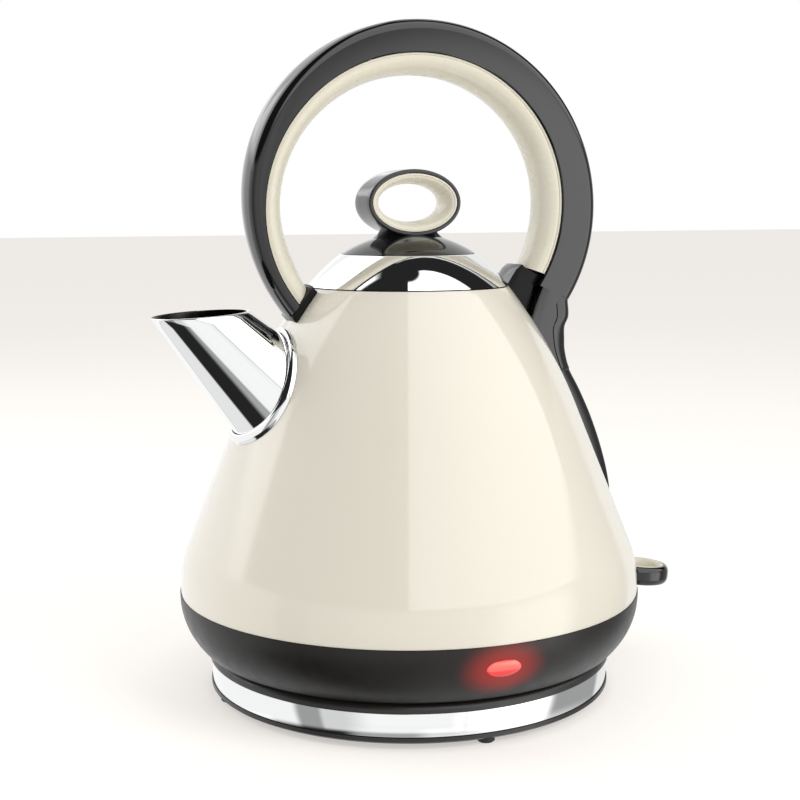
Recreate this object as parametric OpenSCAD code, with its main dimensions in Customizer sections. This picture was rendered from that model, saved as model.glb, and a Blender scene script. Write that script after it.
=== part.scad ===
// Electric kettle that lifts off a round power base.
// The kettle axis is Z, the worktop is z = 0, the spout points to -X, and the
// switch lever and the handle's tail are on the +X side.  Millimetres.

/* [Body] */
// Outer radius of the body where it meets the skirt
body_r = 98; // [88:1:118]
// Height of that seam above the worktop
seam_z = 43.3; // [43.3:0.1:52]
// Radius of the hip that turns the body from upright to sloping
hip_r = 45.3; // [36:1:56]
// Outer radius of the body at its mouth
neck_r = 42.6; // [39:1:52]
// Height of the mouth above the worktop
neck_z = 171.5; // [150:1:206]
// Radius of the upper part of the wall, seen from the side
crown_r = 206.9; // [170:1:250]
// How much steeper the straight wall is than the line from hip to mouth
wall_lean = 2.05; // [1.6:0.05:2.6]
// Thickness of the steel body
wall = 1; // [0.8:0.1:1.2]

/* [Skirt] */
// How far the skirt stands out from the body at the seam
skirt_step = 0.4; // [0:0.1:1]
// Radius of the skirt's rounded side
skirt_round = 29.5; // [27:0.5:34]
// Thickness of the skirt
skirt_wall = 2.6; // [2:0.1:3]
// Depth of the underside cover's foot below the skirt's edge
foot_drop = 5.1; // [4.5:0.1:5.5]
// Outer radius of that foot
foot_r = 78; // [72:1:80]
// Thickness of the underside cover
cover_t = 2; // [1.6:0.1:2.4]

/* [Power base] */
// Outer radius of the black shoulder
base_r = 86.2; // [84:0.2:90]
// Height of the shoulder's top
base_h = 18.4; // [18:0.1:21]
// Gap between the shoulder and the skirt
base_gap = 1; // [0.8:0.1:2]
// Height of the chrome band
band_h = 9.4; // [9.2:0.1:10.5]
// Height of the lower edge of the chrome band
band_z = 4.9; // [4.6:0.1:5.2]
// Thickness of the chrome band
band_t = 1.2; // [0.8:0.1:1.3]
// Radius of a rubber foot
pad_r = 3.5; // [2.5:0.1:3.8]
// Height of a rubber foot below the lower pan
pad_h = 2.4; // [1.6:0.1:3]
// Distance of a rubber foot's middle in from the shoulder's edge
pad_in = 5.3; // [5:0.1:6.3]
// Outer radius of the socket tower
tower_r = 14; // [13.4:0.1:14.4]
// Height of the socket tower's top
tower_h = 30; // [29:0.1:31]
// Radius of the cord's way out
cord_r = 3.6; // [3:0.1:3.8]

/* [Lid] */
// Radius of the chrome dome where the cap begins
cap_r = 28.7; // [27.5:0.1:31]
// Height from the mouth to the cap's edge
dome_h = 13.7; // [12.5:0.1:16]
// Radius of the dome's curve, seen from the side
dome_curve = 79; // [50:1:140]
// Height of the black cap above its edge
cap_h = 8.8; // [7.6:0.1:10]
// Gap from the body's mouth in to the plug that fills it
plug_gap = 5.2; // [5:0.1:7.6]
// Depth of the plug below the mouth
plug_d = 15.5; // [14:0.5:17]
// Half-length of the knob's loop
knob_a = 20.5; // [18:0.5:23]
// Half-height of the knob's loop
knob_b = 13.8; // [12.5:0.1:15]
// Half-depth of the knob
knob_w = 9; // [8:0.5:11]
// Thickness of the knob's black rim
knob_rim = 1.6; // [1.2:0.1:2]
// Depth of the knob's rounded lining
knob_crown = 4.2; // [3.2:0.1:5]

/* [Handle] */
// Height of the ring's centre above the mouth
ring_rise = 33.3; // [32:0.1:42]
// Clear distance from the mouth's edge to the ring's lining seat
ring_gap = 23.4; // [22:0.2:28]
// How much flatter than wide the ring is
ring_squash = 3.4; // [0:0.2:5]
// How much the ring's outline grows from lining seat to back
ring_t = 11.6; // [10.4:0.2:14]
// Half-depth of the handle at the grip
grip_w = 11; // [10:0.5:13]
// Half-depth of the handle at its front end
toe_w = 8.2; // [7.5:0.1:9.5]
// Wall of the handle's shells
grip_wall = 2.2; // [1.8:0.1:2.6]
// Depth of the rounded lining
liner_crown = 8.8; // [7:0.2:9.4]
// Corner radius of the handle's back
grip_round = 4.2; // [2.5:0.1:4.6]

/* [Spout] */
// Height at which the spout's axis meets the wall
spout_z = 134.3; // [128:0.5:136]
// Slope of the spout's axis above level
spout_pitch = 48.1; // [44:0.5:52]
// Radius of the spout at the wall, seen from the side
spout_root_r = 20.6; // [18:0.2:22]
// Narrowing of the spout's side, from its axis
spout_taper = 9.05; // [6:0.25:11]
// How much wider than high the spout is
spout_wide = 1.17; // [1:0.01:1.2]
// Distance along the axis from the wall to the mouth
spout_len = 36; // [32:0.5:44]
// Tilt of the spout's mouth
lip_tilt = 3.3; // [0:0.1:8]
// Thickness of the spout
spout_wall = 1.2; // [1:0.1:1.6]
// Width of the chrome rim round the spout's root
rim_w = 4.4; // [3:0.1:5]
// Height of that rim above the wall
rim_t = 2.2; // [1.4:0.1:2.6]

/* [Switch] */
// Half-length of the lever's loop, away from the body
lever_a = 14.2; // [13:0.1:17]
// Half-width of the lever's loop
lever_b = 13.5; // [12:0.1:15]
// Thickness of the lever's loop
lever_t = 8.4; // [7:0.1:8.8]
// Droop of the lever's loop
lever_tilt = 5.5; // [3:0.5:6.5]
// Half-length of the indicator lens
lens_a = 7; // [5:0.2:8]
// Half-height of the indicator lens
lens_b = 3.5; // [2.5:0.1:4.2]
// Height of the indicator lens
lens_z = 34; // [33:0.1:36]

/* [Fits] */
// Gap left between two pieces that are fixed together
fit = 0.15; // [0.1:0.01:0.2]
// Running clearance of a pivot pin
run = 0.06; // [0.04:0.01:0.09]
// Clearance round the filter in its rails
loose = 0.4; // [0.3:0.05:0.5]

/* [Hidden] */
// Smoothness of round pieces, and of small round pieces
FINE = 96;
SMALL = 40;
// Past any surface, for cuts that go right through
far = 200;

cream = "#efe9d8";
black = "#1c1b1a";
chrome = "#d5d7d9";
steel = "#b5b8bb";
brass = "#c9a24a";

// Body outline: upright, hip arc, straight wall, crown arc
hip_z = seam_z + 2.9;
wall_angle = atan((body_r - neck_r) / (neck_z - hip_z)) - wall_lean;
hip_c = [body_r - hip_r, hip_z];
along = [-sin(wall_angle), cos(wall_angle)];
outward = [cos(wall_angle), sin(wall_angle)];
wall_low = hip_c + hip_r * outward;
to_neck = [neck_r, neck_z] - wall_low;
neck_in = to_neck * outward;
wall_len = to_neck * along - sqrt(-neck_in * (neck_in + 2 * crown_r));
wall_high = wall_low + wall_len * along;
crown_c = wall_high - crown_r * outward;
neck_angle = asin((neck_z - crown_c.y) / crown_r);

// Skirt, cover and power base, stacked upwards from the worktop
skirt_r = body_r + skirt_step;
skirt_z = base_h + base_gap;
skirt_arc_z = seam_z - 1.3;
skirt_c = [skirt_r - skirt_round, skirt_arc_z];
skirt_end = -asin((skirt_arc_z - skirt_z) / skirt_round);
skirt_in = skirt_round - skirt_wall;
cover_z = skirt_z - foot_drop;
flange_t = 2.2;
flange_r = skirt_c.x + sqrt(pow(skirt_in, 2) - pow(skirt_arc_z - skirt_z - flange_t, 2));
well_z = cover_z - 0.3;
well_r = foot_r + 1.2;
floor_t = 2;
pan_z = pad_h;
pan_t = band_z - pan_z - 0.1;
pan_r = base_r - 0.4;
band_r = base_r - 0.8;
shoulder_z = band_z + band_h + 0.1;
shoulder_round = 3.2;
tube_out = band_r - band_t - 0.2;
tube_in = tube_out - 2;
pad_at = base_r - pad_in;
screw_at = well_r - 19.2;
// Stiffening rings on the lower pan: one under the well's edge, one round the socket
outer_ring = well_r - 2.7;
inner_ring = tower_r + 16;
ring_wall = 2;
gland_z = band_z + band_h / 2;
gland_r = cord_r + 0.9;
gland_in = tube_in - 2.4;

// Connector: bore and grooves of the tower, blades of the kettle's half
pin_r = 1.95;
bore_r = pin_r + 0.95;
groove_in = [6, 10.3];
groove_w = 2;
blade_in = [7, 11.3];
blade_t = 0.6;
contact_t = 0.5;
groove_z = 17;
cup_in = tower_r + 0.8;
cup_r = cup_in + 5.2;
cup_z = cover_z + 2.3;
plate_z = tower_h + 0.7;
plate_t = 2.3;
cover_hole = cup_r + 0.6;

// Heater: plate, seal and element under it
heater_z = seam_z + 3.1;
heater_t = 1;
heater_r = body_r - wall - 5.2;
rim_h = 7.6;
seal_z = heater_z - 1.2;
diffuser_t = 1.8;
diffuser_r = 60;
element_at = 46;
element_r = 3.6;
element_z = heater_z - 0.2 - diffuser_t - element_r - 0.1;
control_z = plate_z + plate_t + 0.2;
control_r = 22;
disc_t = 0.4;

// Switch: pivots inside the skirt, loop outside it
pivot = [body_r - 11, lens_z + 2.8];
pivot_r = 2;
boss_r = 4.2;
trip_pivot = [pivot.x - 8, pivot.y - 5.8];
trip_r = 1.5;
ear_y = 9.4;
ear_t = 2;
arm_w = 8;
arm_t = 5;
lever_c = [body_r + 2 + lever_a, pivot.y];
lever_rim = 2.4;
lever_lining = 2.4;
slot_w = arm_w + 1.2;

// Steam tube: upright through the heater plate, then up along the wall
steam_x = body_r - 14;
steam_r = 4;
steam_bore = 2.8;
steam_low = seam_z + 0.2;
steam_bend = seam_z + 19;
steam_top = neck_z - 21.5;
steam_turn = 20;
grommet_r = 6.2;

// Lid, from the mouth upwards
lid_z = neck_z + 0.6;
cap_z = neck_z + dome_h;
dome_r = neck_r - 0.1;
plug_r = neck_r - plug_gap;
cap_curve = (pow(cap_r, 2) + pow(cap_h, 2)) / (2 * cap_h);
cap_top = cap_z + cap_h;
dome_t = 1.2;
cap_t = 1.8;
knob_z = cap_top - 1.3 + knob_b;
plug_z = neck_z - plug_d;
seal_t = 1.85;
collar_in = plug_r + seal_t + 0.35;
collar_out = neck_r - 1.1;
lid_screw_at = 18;
lid_split = neck_z + 4.5;

// Handle: the ring is two tilted ellipses, inner and outer
ring_c = [1.64, neck_z + ring_rise];
ring_in = [neck_r + ring_gap, neck_r + ring_gap - ring_squash];
ring_in_tilt = 9.8;
ring_out = ring_in + [ring_t, ring_t + 0.6];
ring_out_c = ring_c + [5.1, 1.1];
ring_out_tilt = -20.4;
ring_front = 228;
ring_rear = -33;
liner_rear = -28;
land = 3;
block_w = grip_w - 1;
foot_z = neck_z - 8.2;
tail_screw_z = neck_z - 59.5;
tail_w = grip_w - 0.5;
tail_tip = 105;
// Tail outline: depth below the mouth, and how far it stands off the wall
tail_keys = [[14.5, 18.5], [18.6, 14], [23.9, 11], [29.1, 8.5], [36.5, 7.1],
             [47.5, 8.7], [59, 9.1], [73, 8.4], [86, 6.1], [97, 3.2], [tail_tip, 0.9]];

// Spout axis, in the XZ plane
spout_dir = [-cos(spout_pitch), sin(spout_pitch)];

// Filter panel, in its own plane behind the spout
filter_tilt = wall_angle + 2.2;
filter_w = 20;
filter_h = 21;
filter_t = 2.4;
filter_bar = 2.6;
filter_c = [-(body_r_at(spout_z - 2.3) - wall - 8.5), spout_z - 2.3];

// ---------------------------------------------------------------- outlines

function arc(c, r, a0, a1, n = 8) =
    [for (i = [0:n]) c + r * [cos(a0 + (a1 - a0) * i / n), sin(a0 + (a1 - a0) * i / n)]];

function backwards(p) = [for (i = [len(p) - 1:-1:0]) p[i]];

// Centre of the arc of radius r from p to q that bulges to the right of travel
function bulge_centre(p, q, r) =
    let (d = q - p, side = [d.y, -d.x] / norm(d))
    (p + q) / 2 - sqrt(r * r - d * d / 4) * side;

function bulge(p, q, r, less = 0, n = 8) =
    let (c = bulge_centre(p, q, r), a = p - c, b = q - c)
    arc(c, r - less, atan2(a.y, a.x), atan2(b.y, b.x), n);

// The body's outline, moved outwards by off
function body_outline(off) =
    concat([[body_r + off, seam_z]], arc(hip_c, hip_r + off, 0, wall_angle),
           arc(crown_c, crown_r + off, wall_angle, neck_angle, 12));

function body_r_at(z) =
    z < hip_z ? body_r
    : z < wall_low.y ? hip_c.x + sqrt(pow(hip_r, 2) - pow(z - hip_c.y, 2))
    : z < wall_high.y ? wall_low.x - (z - wall_low.y) * tan(wall_angle)
    : crown_c.x + sqrt(pow(crown_r, 2) - pow(z - crown_c.y, 2));

function wall_angle_at(z) = z < wall_high.y ? wall_angle : asin((z - crown_c.y) / crown_r);

function skirt_outline(off) =
    concat([[skirt_r + off, seam_z - fit]],
           arc(skirt_c, skirt_round + off, 0, skirt_end, 12));

function ellipse(a, b, n = 48) = [for (i = [0:n - 1]) [a * cos(360 * i / n), b * sin(360 * i / n)]];

function ellipse_at(c, half, tilt, a) =
    let (x = half.x * cos(a - tilt), y = half.y * sin(a - tilt))
    c + [x * cos(tilt) - y * sin(tilt), x * sin(tilt) + y * cos(tilt)];

function ring_inner(a) = ellipse_at(ring_c, ring_in, ring_in_tilt, a);
function ring_outer(a) = ellipse_at(ring_out_c, ring_out, ring_out_tilt, a);

function ease(t) = t <= 0 ? 0 : t >= 1 ? 1 : t * t * (3 - 2 * t);
// Half-depth of the handle round the ring: full at the grip, less at the toe
function ring_w(a) = grip_w - (grip_w - toe_w) * ease((a - 130) / 80);

// Value at x of a smooth curve through keys, a list of [x, value] in rising x
function through(keys, x, i = 0) =
    i < len(keys) - 2 && x > keys[i + 1].x ? through(keys, x, i + 1)
    : let (p = keys[i], q = keys[i + 1], t = (x - p.x) / (q.x - p.x),
           before = i > 0 ? keys[i - 1] : p, after = i < len(keys) - 2 ? keys[i + 2] : q,
           m0 = (q.y - before.y) / (q.x - before.x) * (q.x - p.x),
           m1 = (after.y - p.y) / (after.x - p.x) * (q.x - p.x))
      (2 * t * t * t - 3 * t * t + 1) * p.y + (t * t * t - 2 * t * t + t) * m0
      + (3 * t * t - 2 * t * t * t) * q.y + (t * t * t - t * t) * m1;

// Tail: its back meets the ring's back, its front leaves room for the web
tail_z0 = ring_outer(ring_rear).y;
tail_all = concat([[neck_z - tail_z0, ring_outer(ring_rear).x - body_r_at(tail_z0)]], tail_keys);
function tail_back(z) = body_r_at(z) + through(tail_all, neck_z - z);
tail_top = tail_z0 - 1.5;
web_low = neck_z - 37;
function tail_front(z) = tail_back(z) - 7.2 + 1.6 * ease((neck_z - 20 - z) / 16);

// ------------------------------------------------------------ basic shapes

module turned(points) rotate_extrude($fn = FINE) polygon(points);

module tube(r_in, r_out, z0, z1, fn = FINE)
    rotate_extrude($fn = fn) translate([r_in, z0]) square([r_out - r_in, z1 - z0]);

module disc(r, z0, z1, fn = FINE) translate([0, 0, z0]) cylinder(r = r, h = z1 - z0, $fn = fn);

// Cylinder along Y, centred on y = 0 at [x, z]
module cross_pin(p, r, half) translate([p.x, half, p.y])
    rotate([90, 0, 0]) cylinder(r = r, h = 2 * half, $fn = SMALL);

// An XZ outline as a plate from y = -half to y = half
module plate(points, half) rotate([90, 0, 0])
    linear_extrude(height = 2 * half, center = true) polygon(points);

module body_solid(off)
    turned(concat([[0, seam_z]], body_outline(off), [[0, neck_z + off]]));

module around(n, r, start = 0)
    for (i = [0:n - 1]) rotate([0, 0, start + 360 * i / n]) translate([r, 0, 0]) children();

// Stands on the wall at height z, with +Z along the wall's outward normal;
// side is 1 towards the lever and -1 towards the spout
module at_wall(z, side) translate([side * body_r_at(z), 0, z])
    rotate([0, side * (90 - wall_angle_at(z)), 0]) children();

// Skin through rings of points, each an even number of points whose second half
// runs back beside the first; ring after ring, closed on itself if loop
module skin(rings, loop = false) {
    n = len(rings[0]);
    m = len(rings);
    last = loop ? m - 1 : m - 2;
    end = (m - 1) * n;
    sides = [for (i = [0:last]) for (j = [0:n - 1])
        let (a = i * n + j, b = i * n + (j + 1) % n,
             c = ((i + 1) % m) * n + (j + 1) % n, d = ((i + 1) % m) * n + j)
        for (f = [[a, c, b], [a, d, c]]) f];
    caps = loop ? [] : [for (j = [0:n / 2 - 2]) let (k = n - 1 - j)
        for (f = [[j, j + 1, k], [j + 1, k - 1, k],
                  [end + k, end + j + 1, end + j], [end + k, end + k - 1, end + j + 1]]) f];
    polyhedron(points = [for (r = rings) for (p = r) p], faces = concat(sides, caps));
}

// Section points [s, y] placed at p in the XZ plane, with s along unit e
function placed(section, p, e) = [for (q = section) [p.x + q.x * e.x, q.y, p.y + q.x * e.y]];

// ---------------------------------------------------------------- power base

module base_bottom() color(black) difference() {
    union() {
        turned([[0, pan_z], [pan_r - 1, pan_z], [pan_r, pan_z + 0.8],
                [pan_r, pan_z + pan_t], [0, pan_z + pan_t]]);
        tube(outer_ring - ring_wall, outer_ring, pan_z + pan_t, band_z + 6);
        tube(inner_ring, inner_ring + ring_wall, pan_z + pan_t, band_z + 4);
        for (a = [22.5:45:337.5]) rotate([0, 0, a]) translate([inner_ring + 1, -0.8, pan_z + pan_t])
            cube([outer_ring - inner_ring - ring_wall, 1.6, 2.5]);
    }
    around(4, screw_at, 45) disc(1.7, 0, far, SMALL);
    around(4, screw_at, 45) disc(3.4, 0, pan_z + 1.1, SMALL);
    around(4, pad_at) disc(1.9, 0, far, SMALL);
    translate([0, far / 2, gland_z]) cube([15, far, band_h * 0.9], center = true);
}

module base_top() color(black) difference() {
    union() {
        turned(concat([[tube_out, shoulder_z], [base_r, shoulder_z]],
               arc([base_r - shoulder_round, base_h - shoulder_round], shoulder_round, 0, 90),
               arc([well_r + 1, base_h - 1], 1, 90, 180, 4),
               [[well_r, well_z - floor_t], [well_r + 2, well_z - floor_t],
                [well_r + 2, base_h - 2.2], [tube_out, base_h - 2.2]]));
        tube(tower_r + 0.6, well_r + 0.5, well_z - floor_t, well_z);
        tube(tube_in, tube_out, band_z + 1, base_h - 2.2);
        around(4, screw_at, 45) disc(4, band_z + 0.2, well_z - floor_t + 0.1, SMALL);
    }
    around(4, screw_at, 45) disc(1.3, 0, well_z - floor_t, SMALL);
    translate([0, far / 2, gland_z]) rotate([90, 0, 0])
        cylinder(r = gland_r + fit, h = far, center = true, $fn = SMALL);
}

module base_trim_ring() color(chrome) difference() {
    tube(band_r - band_t, band_r, band_z, band_z + band_h);
    translate([0, far / 2, gland_z]) rotate([90, 0, 0])
        cylinder(r = gland_r + fit, h = far, center = true, $fn = SMALL);
}

module base_feet() color("#2a2a2a") around(4, pad_at) {
    turned([[0, 0], [pad_r - 0.6, 0], [pad_r, 0.6], [pad_r, pan_z], [0, pan_z]]);
    disc(1.75, pan_z - 0.1, pan_z + pan_t, SMALL);
}

module base_screws() color(steel) around(4, screw_at, 45) {
    disc(3, pan_z + 0.1, pan_z + 1.1, SMALL);
    disc(1.2, pan_z + 1.1, well_z - floor_t - 0.4, SMALL);
}

module base_connector() color(black) difference() {
    union() {
        turned([[0, well_z - floor_t - 2.2], [tower_r, well_z - floor_t - 2.2],
                [tower_r, tower_h - 1.2], [tower_r - 1.2, tower_h], [0, tower_h]]);
        tube(tower_r - 0.2, tower_r + 3.4, well_z - floor_t - 2.2, well_z - floor_t - fit);
    }
    disc(bore_r, well_z - 2, far, SMALL);
    for (r = groove_in) tube(r, r + groove_w, groove_z, far);
}

module base_contacts() color(brass) {
    tube(bore_r - fit - contact_t, bore_r - fit, well_z - 2, well_z + 9, SMALL);
    for (r = groove_in) tube(r + fit, r + fit + contact_t, groove_z, groove_z + 5);
}

module base_terminals() color(brass) for (x = [-8, 0, 8])
    translate([x - 2, 7.6, band_z + 0.5])
        difference() {
            cube([4, 0.8, well_z - floor_t - 2.2 - band_z - 0.5]);
            translate([2, 2, 2]) rotate([90, 0, 0]) cylinder(r = 0.8, h = 4, $fn = 24);
        }

module cord_gland() color(black) difference() {
    union() {
        translate([0, band_r + 0.8, gland_z]) rotate([90, 0, 0])
            cylinder(r = gland_r, h = band_r + 0.8 - gland_in, $fn = SMALL);
        translate([-6.6, gland_in, gland_z - band_h / 2 + 0.3])
            cube([13.2, 2, 0.72 * band_h]);
    }
    translate([0, band_r + 2, gland_z]) rotate([90, 0, 0])
        cylinder(r = cord_r, h = far / 2, $fn = SMALL);
}

// ------------------------------------------------------- kettle-side connector

module kettle_connector() color("#2b2b2b") difference() {
    union() {
        tube(cup_in, cup_r, cup_z, plate_z);
        disc(cup_r, plate_z, plate_z + plate_t);
    }
    disc(pin_r + fit / 3, 0, far, SMALL);
}

module connector_pin() color(brass) {
    disc(pin_r, well_z + 6, plate_z + plate_t, SMALL);
    translate([0, 0, well_z + 6]) sphere(r = pin_r, $fn = SMALL);
}

module connector_rings() color(brass)
    for (r = blade_in) tube(r, r + blade_t, groove_z + 2, plate_z);

// ------------------------------------------------------------------ the kettle

module body_shell() color(cream) difference() {
    turned(concat(body_outline(0), backwards(body_outline(-wall))));
    spout_cone(-spout_wall);
    at_wall(foot_z, -1) disc(2, -far / 10, far / 10, SMALL);
    at_wall(foot_z, 1) disc(2, -far / 10, far / 10, SMALL);
    at_wall(tail_screw_z, 1) disc(2, -far / 10, far / 10, SMALL);
    at_wall(neck_z - 14, 1) translate([0, 6, 0]) disc(1.6, -far / 10, far / 10, SMALL);
    at_wall(neck_z - 14, 1) translate([0, -6, 0]) disc(1.6, -far / 10, far / 10, SMALL);
}

module neck_collar() color("#3a3936") {
    tube(collar_in, collar_out, neck_z - 13.5, neck_z - 0.2);
    tube(collar_in, collar_out + 2.5, neck_z - 13.5, neck_z - 12);
}

// The spout's outside, grown by off, from inside the body to past its mouth
module spout_cone(off) {
    start = -18;
    end = 64;
    root = [-body_r_at(spout_z) - 1.9, spout_z];
    across = [-spout_dir.y, spout_dir.x];
    function ring(d) = let (p = root + d * spout_dir, r = spout_root_r + off - d * tan(spout_taper))
        [for (q = ellipse(r, r * spout_wide, 40)) [p.x + q.x * across.x, q.y, p.y + q.x * across.y]];
    skin([ring(end), ring(start)]);
}

module spout() color(chrome) difference() {
    spout_cone(0);
    spout_cone(-spout_wall);
    body_solid(fit);
    translate([-body_r_at(spout_z) - 1.9 + spout_len * spout_dir.x, 0,
               spout_z + spout_len * spout_dir.y])
        rotate([0, -lip_tilt, 0]) translate([-far / 2, -far / 2, 0]) cube(far);
}

module spout_collar() color(chrome) difference() {
    intersection() {
        spout_cone(rim_w);
        difference() {
            body_solid(rim_t);
            body_solid(fit);
        }
    }
    spout_cone(fit);
}

module base_skirt() color(black) difference() {
    union() {
        turned(concat(skirt_outline(0), [[flange_r + fit, skirt_z],
               [flange_r + fit, skirt_z + flange_t]],
               backwards(arc(skirt_c, skirt_in, 0, -asin((skirt_arc_z - skirt_z - flange_t)
                                                         / skirt_in), 12)),
               [[skirt_c.x + skirt_in, seam_z - fit]]));
        tube(body_r - wall - fit - 2.4, body_r - wall - fit, seam_z - 1.1, seam_z + 1.6);
        for (a = [45:90:315]) rotate([0, 0, a]) {
            translate([flange_r - 4, 0, 0]) disc(3.2, skirt_z + flange_t + 0.1, skirt_z + 10.6, SMALL);
            translate([flange_r - 4, -1.2, skirt_z + 4.6]) cube([8, 2.4, 6]);
        }
    }
    for (a = [45:90:315]) rotate([0, 0, a])
        translate([flange_r - 4, 0, 0]) disc(1.3, 0, skirt_z + 9.6, SMALL);
    translate([body_r - 12, -slot_w, pivot.y - 5]) cube([far, 2 * slot_w, 10.2]);
    lens_prism(fit);
}

module underside_cover() color("#242322") difference() {
    union() {
        tube(foot_r - cover_t, flange_r, skirt_z, skirt_z + flange_t);
        tube(foot_r - cover_t, foot_r, cover_z, skirt_z + flange_t);
        tube(cover_hole, foot_r, cover_z, cover_z + cover_t);
        tube(cover_hole, cover_hole + 2, cover_z, tower_h - 2);
        for (a = [0:45:315]) rotate([0, 0, a])
            translate([cover_hole + 1, -0.7, cover_z + cover_t - 0.1])
                cube([foot_r - cover_hole - 2, 1.4, 2.6]);
    }
    for (a = [45:90:315]) rotate([0, 0, a]) translate([flange_r - 4, 0, 0]) {
        disc(1.8, 0, far, SMALL);
        disc(3.1, 0, skirt_z + 1.1, SMALL);
    }
}

module cover_screws() color(steel) for (a = [45:90:315]) rotate([0, 0, a])
    translate([flange_r - 4, 0, 0]) {
        disc(2.8, skirt_z + 0.1, skirt_z + 1.1, SMALL);
        disc(1.2, skirt_z + 1.1, skirt_z + 9, SMALL);
    }

module heater_plate() color(steel) difference() {
    union() {
        disc(heater_r, heater_z, heater_z + heater_t);
        tube(heater_r - 1, heater_r, heater_z, heater_z + rim_h);
    }
    translate([steam_x, 0, 0]) disc(steam_r + 1.2, 0, far, SMALL);
}

module plate_seal() color("#d8d6cf") rotate_extrude($fn = FINE) intersection() {
    polygon(concat([[0, seal_z - 1]], body_outline(-wall - fit), [[0, neck_z]]));
    union() {
        translate([heater_r + fit, seal_z]) square([far, rim_h + 2]);
        translate([heater_r - 1.5, seal_z]) square([far, 1.05]);
    }
}

module diffuser_plate() color("#c4c6c8") disc(diffuser_r, heater_z - diffuser_t - 0.1, heater_z - 0.1);

module heating_element() color("#8f8c86") rotate([0, 0, 30])
    rotate_extrude(angle = 300, $fn = FINE) translate([element_at, element_z])
        circle(r = element_r, $fn = SMALL);

module element_terminals() color(brass) for (a = [22, -22]) rotate([0, 0, a])
    translate([element_at, 0, 0]) {
        disc(1.6, element_z - 8, element_z + 1.5, SMALL);
        translate([-0.4, -2.4, element_z - 14]) cube([0.8, 4.8, 6.2]);
    }

module control_unit() color("#e8e4da") difference() {
    union() {
        disc(control_r, control_z, heater_z - 4);
        for (a = [90:120:330]) rotate([0, 0, a]) translate([control_r - 1, -4, control_z])
            cube([7, 8, 3]);
    }
    for (x = [-11, 11]) translate([x, 0, 0]) disc(8.2, heater_z - 5.2, far, SMALL);
    for (a = [90:120:330]) rotate([0, 0, a]) translate([control_r + 3, 0, 0])
        disc(1.7, 0, far, SMALL);
}

module bimetal_discs() color("#a59a86") {
    for (x = [-11, 11]) translate([x, 0, heater_z - 5.1]) {
        disc(7.8, 0, disc_t, SMALL);
        tube(6.4, 7.8, disc_t, disc_t + 0.5, SMALL);
    }
    translate([pivot.x - 3, 0, pivot.y + 5.4]) disc(ear_y + 1, 0, disc_t, SMALL);
}

// Side view of the steam tube's middle line: [x, z, lean], up, round the bend and on
steam_line =
    let (lift = (steam_top - steam_bend - steam_turn * sin(wall_angle)) / cos(wall_angle))
    concat([[steam_x, steam_low, 0]],
           [for (a = [0:wall_angle / 4:wall_angle])
               [steam_x - steam_turn * (1 - cos(a)), steam_bend + steam_turn * sin(a), a]],
           [[steam_x - steam_turn * (1 - cos(wall_angle)) - lift * sin(wall_angle), steam_top, wall_angle]]);

module steam_tube() color("#d9d6cc") skin([for (q = [0:20:340])
    concat([for (s = steam_line) steam_point(s, steam_r, q)],
           [for (s = backwards(steam_line)) steam_point(s, steam_bore, q)])], true);

function steam_point(s, r, q) =
    [s.x + r * cos(q) * cos(s.z), r * sin(q), s.y + r * cos(q) * sin(s.z)];

module steam_tube_grommet() color("#5a5752") translate([steam_x, 0, 0]) {
    tube(steam_r + fit, steam_r + 1.05, heater_z - 1.5, heater_z + heater_t + 1.6, SMALL);
    tube(steam_r + fit, grommet_r, heater_z + heater_t + fit, heater_z + heater_t + 1.6, SMALL);
    tube(steam_r + fit, grommet_r, heater_z - 1.5, heater_z - fit, SMALL);
}

// Oval prism along -Y, from inside the skirt to past it
module lens_prism(off) translate([0, -body_r + 7, lens_z]) rotate([90, 0, 0])
    linear_extrude(height = 20) polygon(ellipse(lens_a + off, lens_b + off, 40));

module indicator_lens() color("#d8251f") intersection() {
    lens_prism(0);
    turned(concat([[0, seam_z - fit]], skirt_outline(0.6), [[0, skirt_z]]));
}

module indicator_lamp() color("#f2ece0") translate([0, -body_r + 7.5, lens_z]) rotate([-90, 0, 0]) {
    disc(2.5, 2.5, 10, SMALL);
    translate([0, 0, 2.5]) sphere(r = 2.5, $fn = SMALL);
}

module lamp_holder() color("#3b3936") translate([0, -body_r + 11.5, 0]) difference() {
    union() {
        translate([0, 0, lens_z]) rotate([-90, 0, 0]) disc(4.2, 0, 7, SMALL);
        translate([-2, 1, skirt_z + flange_t]) cube([4, 3, lens_z - 3.6 - skirt_z - flange_t]);
    }
    translate([0, 0, lens_z]) rotate([-90, 0, 0]) disc(2.5 + fit / 2, -1, 10, SMALL);
}

module switch_housing() color("#2d2c2a") {
    ear = [[pivot.x - 15, skirt_z + flange_t + 0.4], [pivot.x - 2, skirt_z + flange_t + 0.4],
           [pivot.x + 3.4, pivot.y - 7], [pivot.x + 3.4, pivot.y + 5.2],
           [pivot.x - 10, pivot.y + 5.2], [pivot.x - 15, trip_pivot.y + 3]];
    difference() {
        union() {
            for (side = [-1, 1]) translate([0, side * (ear_y + ear_t / 2), 0]) plate(ear, ear_t / 2);
            translate([pivot.x - 15, -ear_y - 0.5, skirt_z + flange_t + 0.4])
                cube([13, 2 * ear_y + 1, 1.6]);
        }
        cross_pin(pivot, pivot_r + run, far);
        cross_pin(trip_pivot, trip_r + run, far);
    }
}

module switch_pivot_pin() color(steel) cross_pin(pivot, pivot_r, ear_y + ear_t);
module trip_pivot_pin() color(steel) cross_pin(trip_pivot, trip_r, ear_y + ear_t);

// ------------------------------------------------------------------ handle

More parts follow.
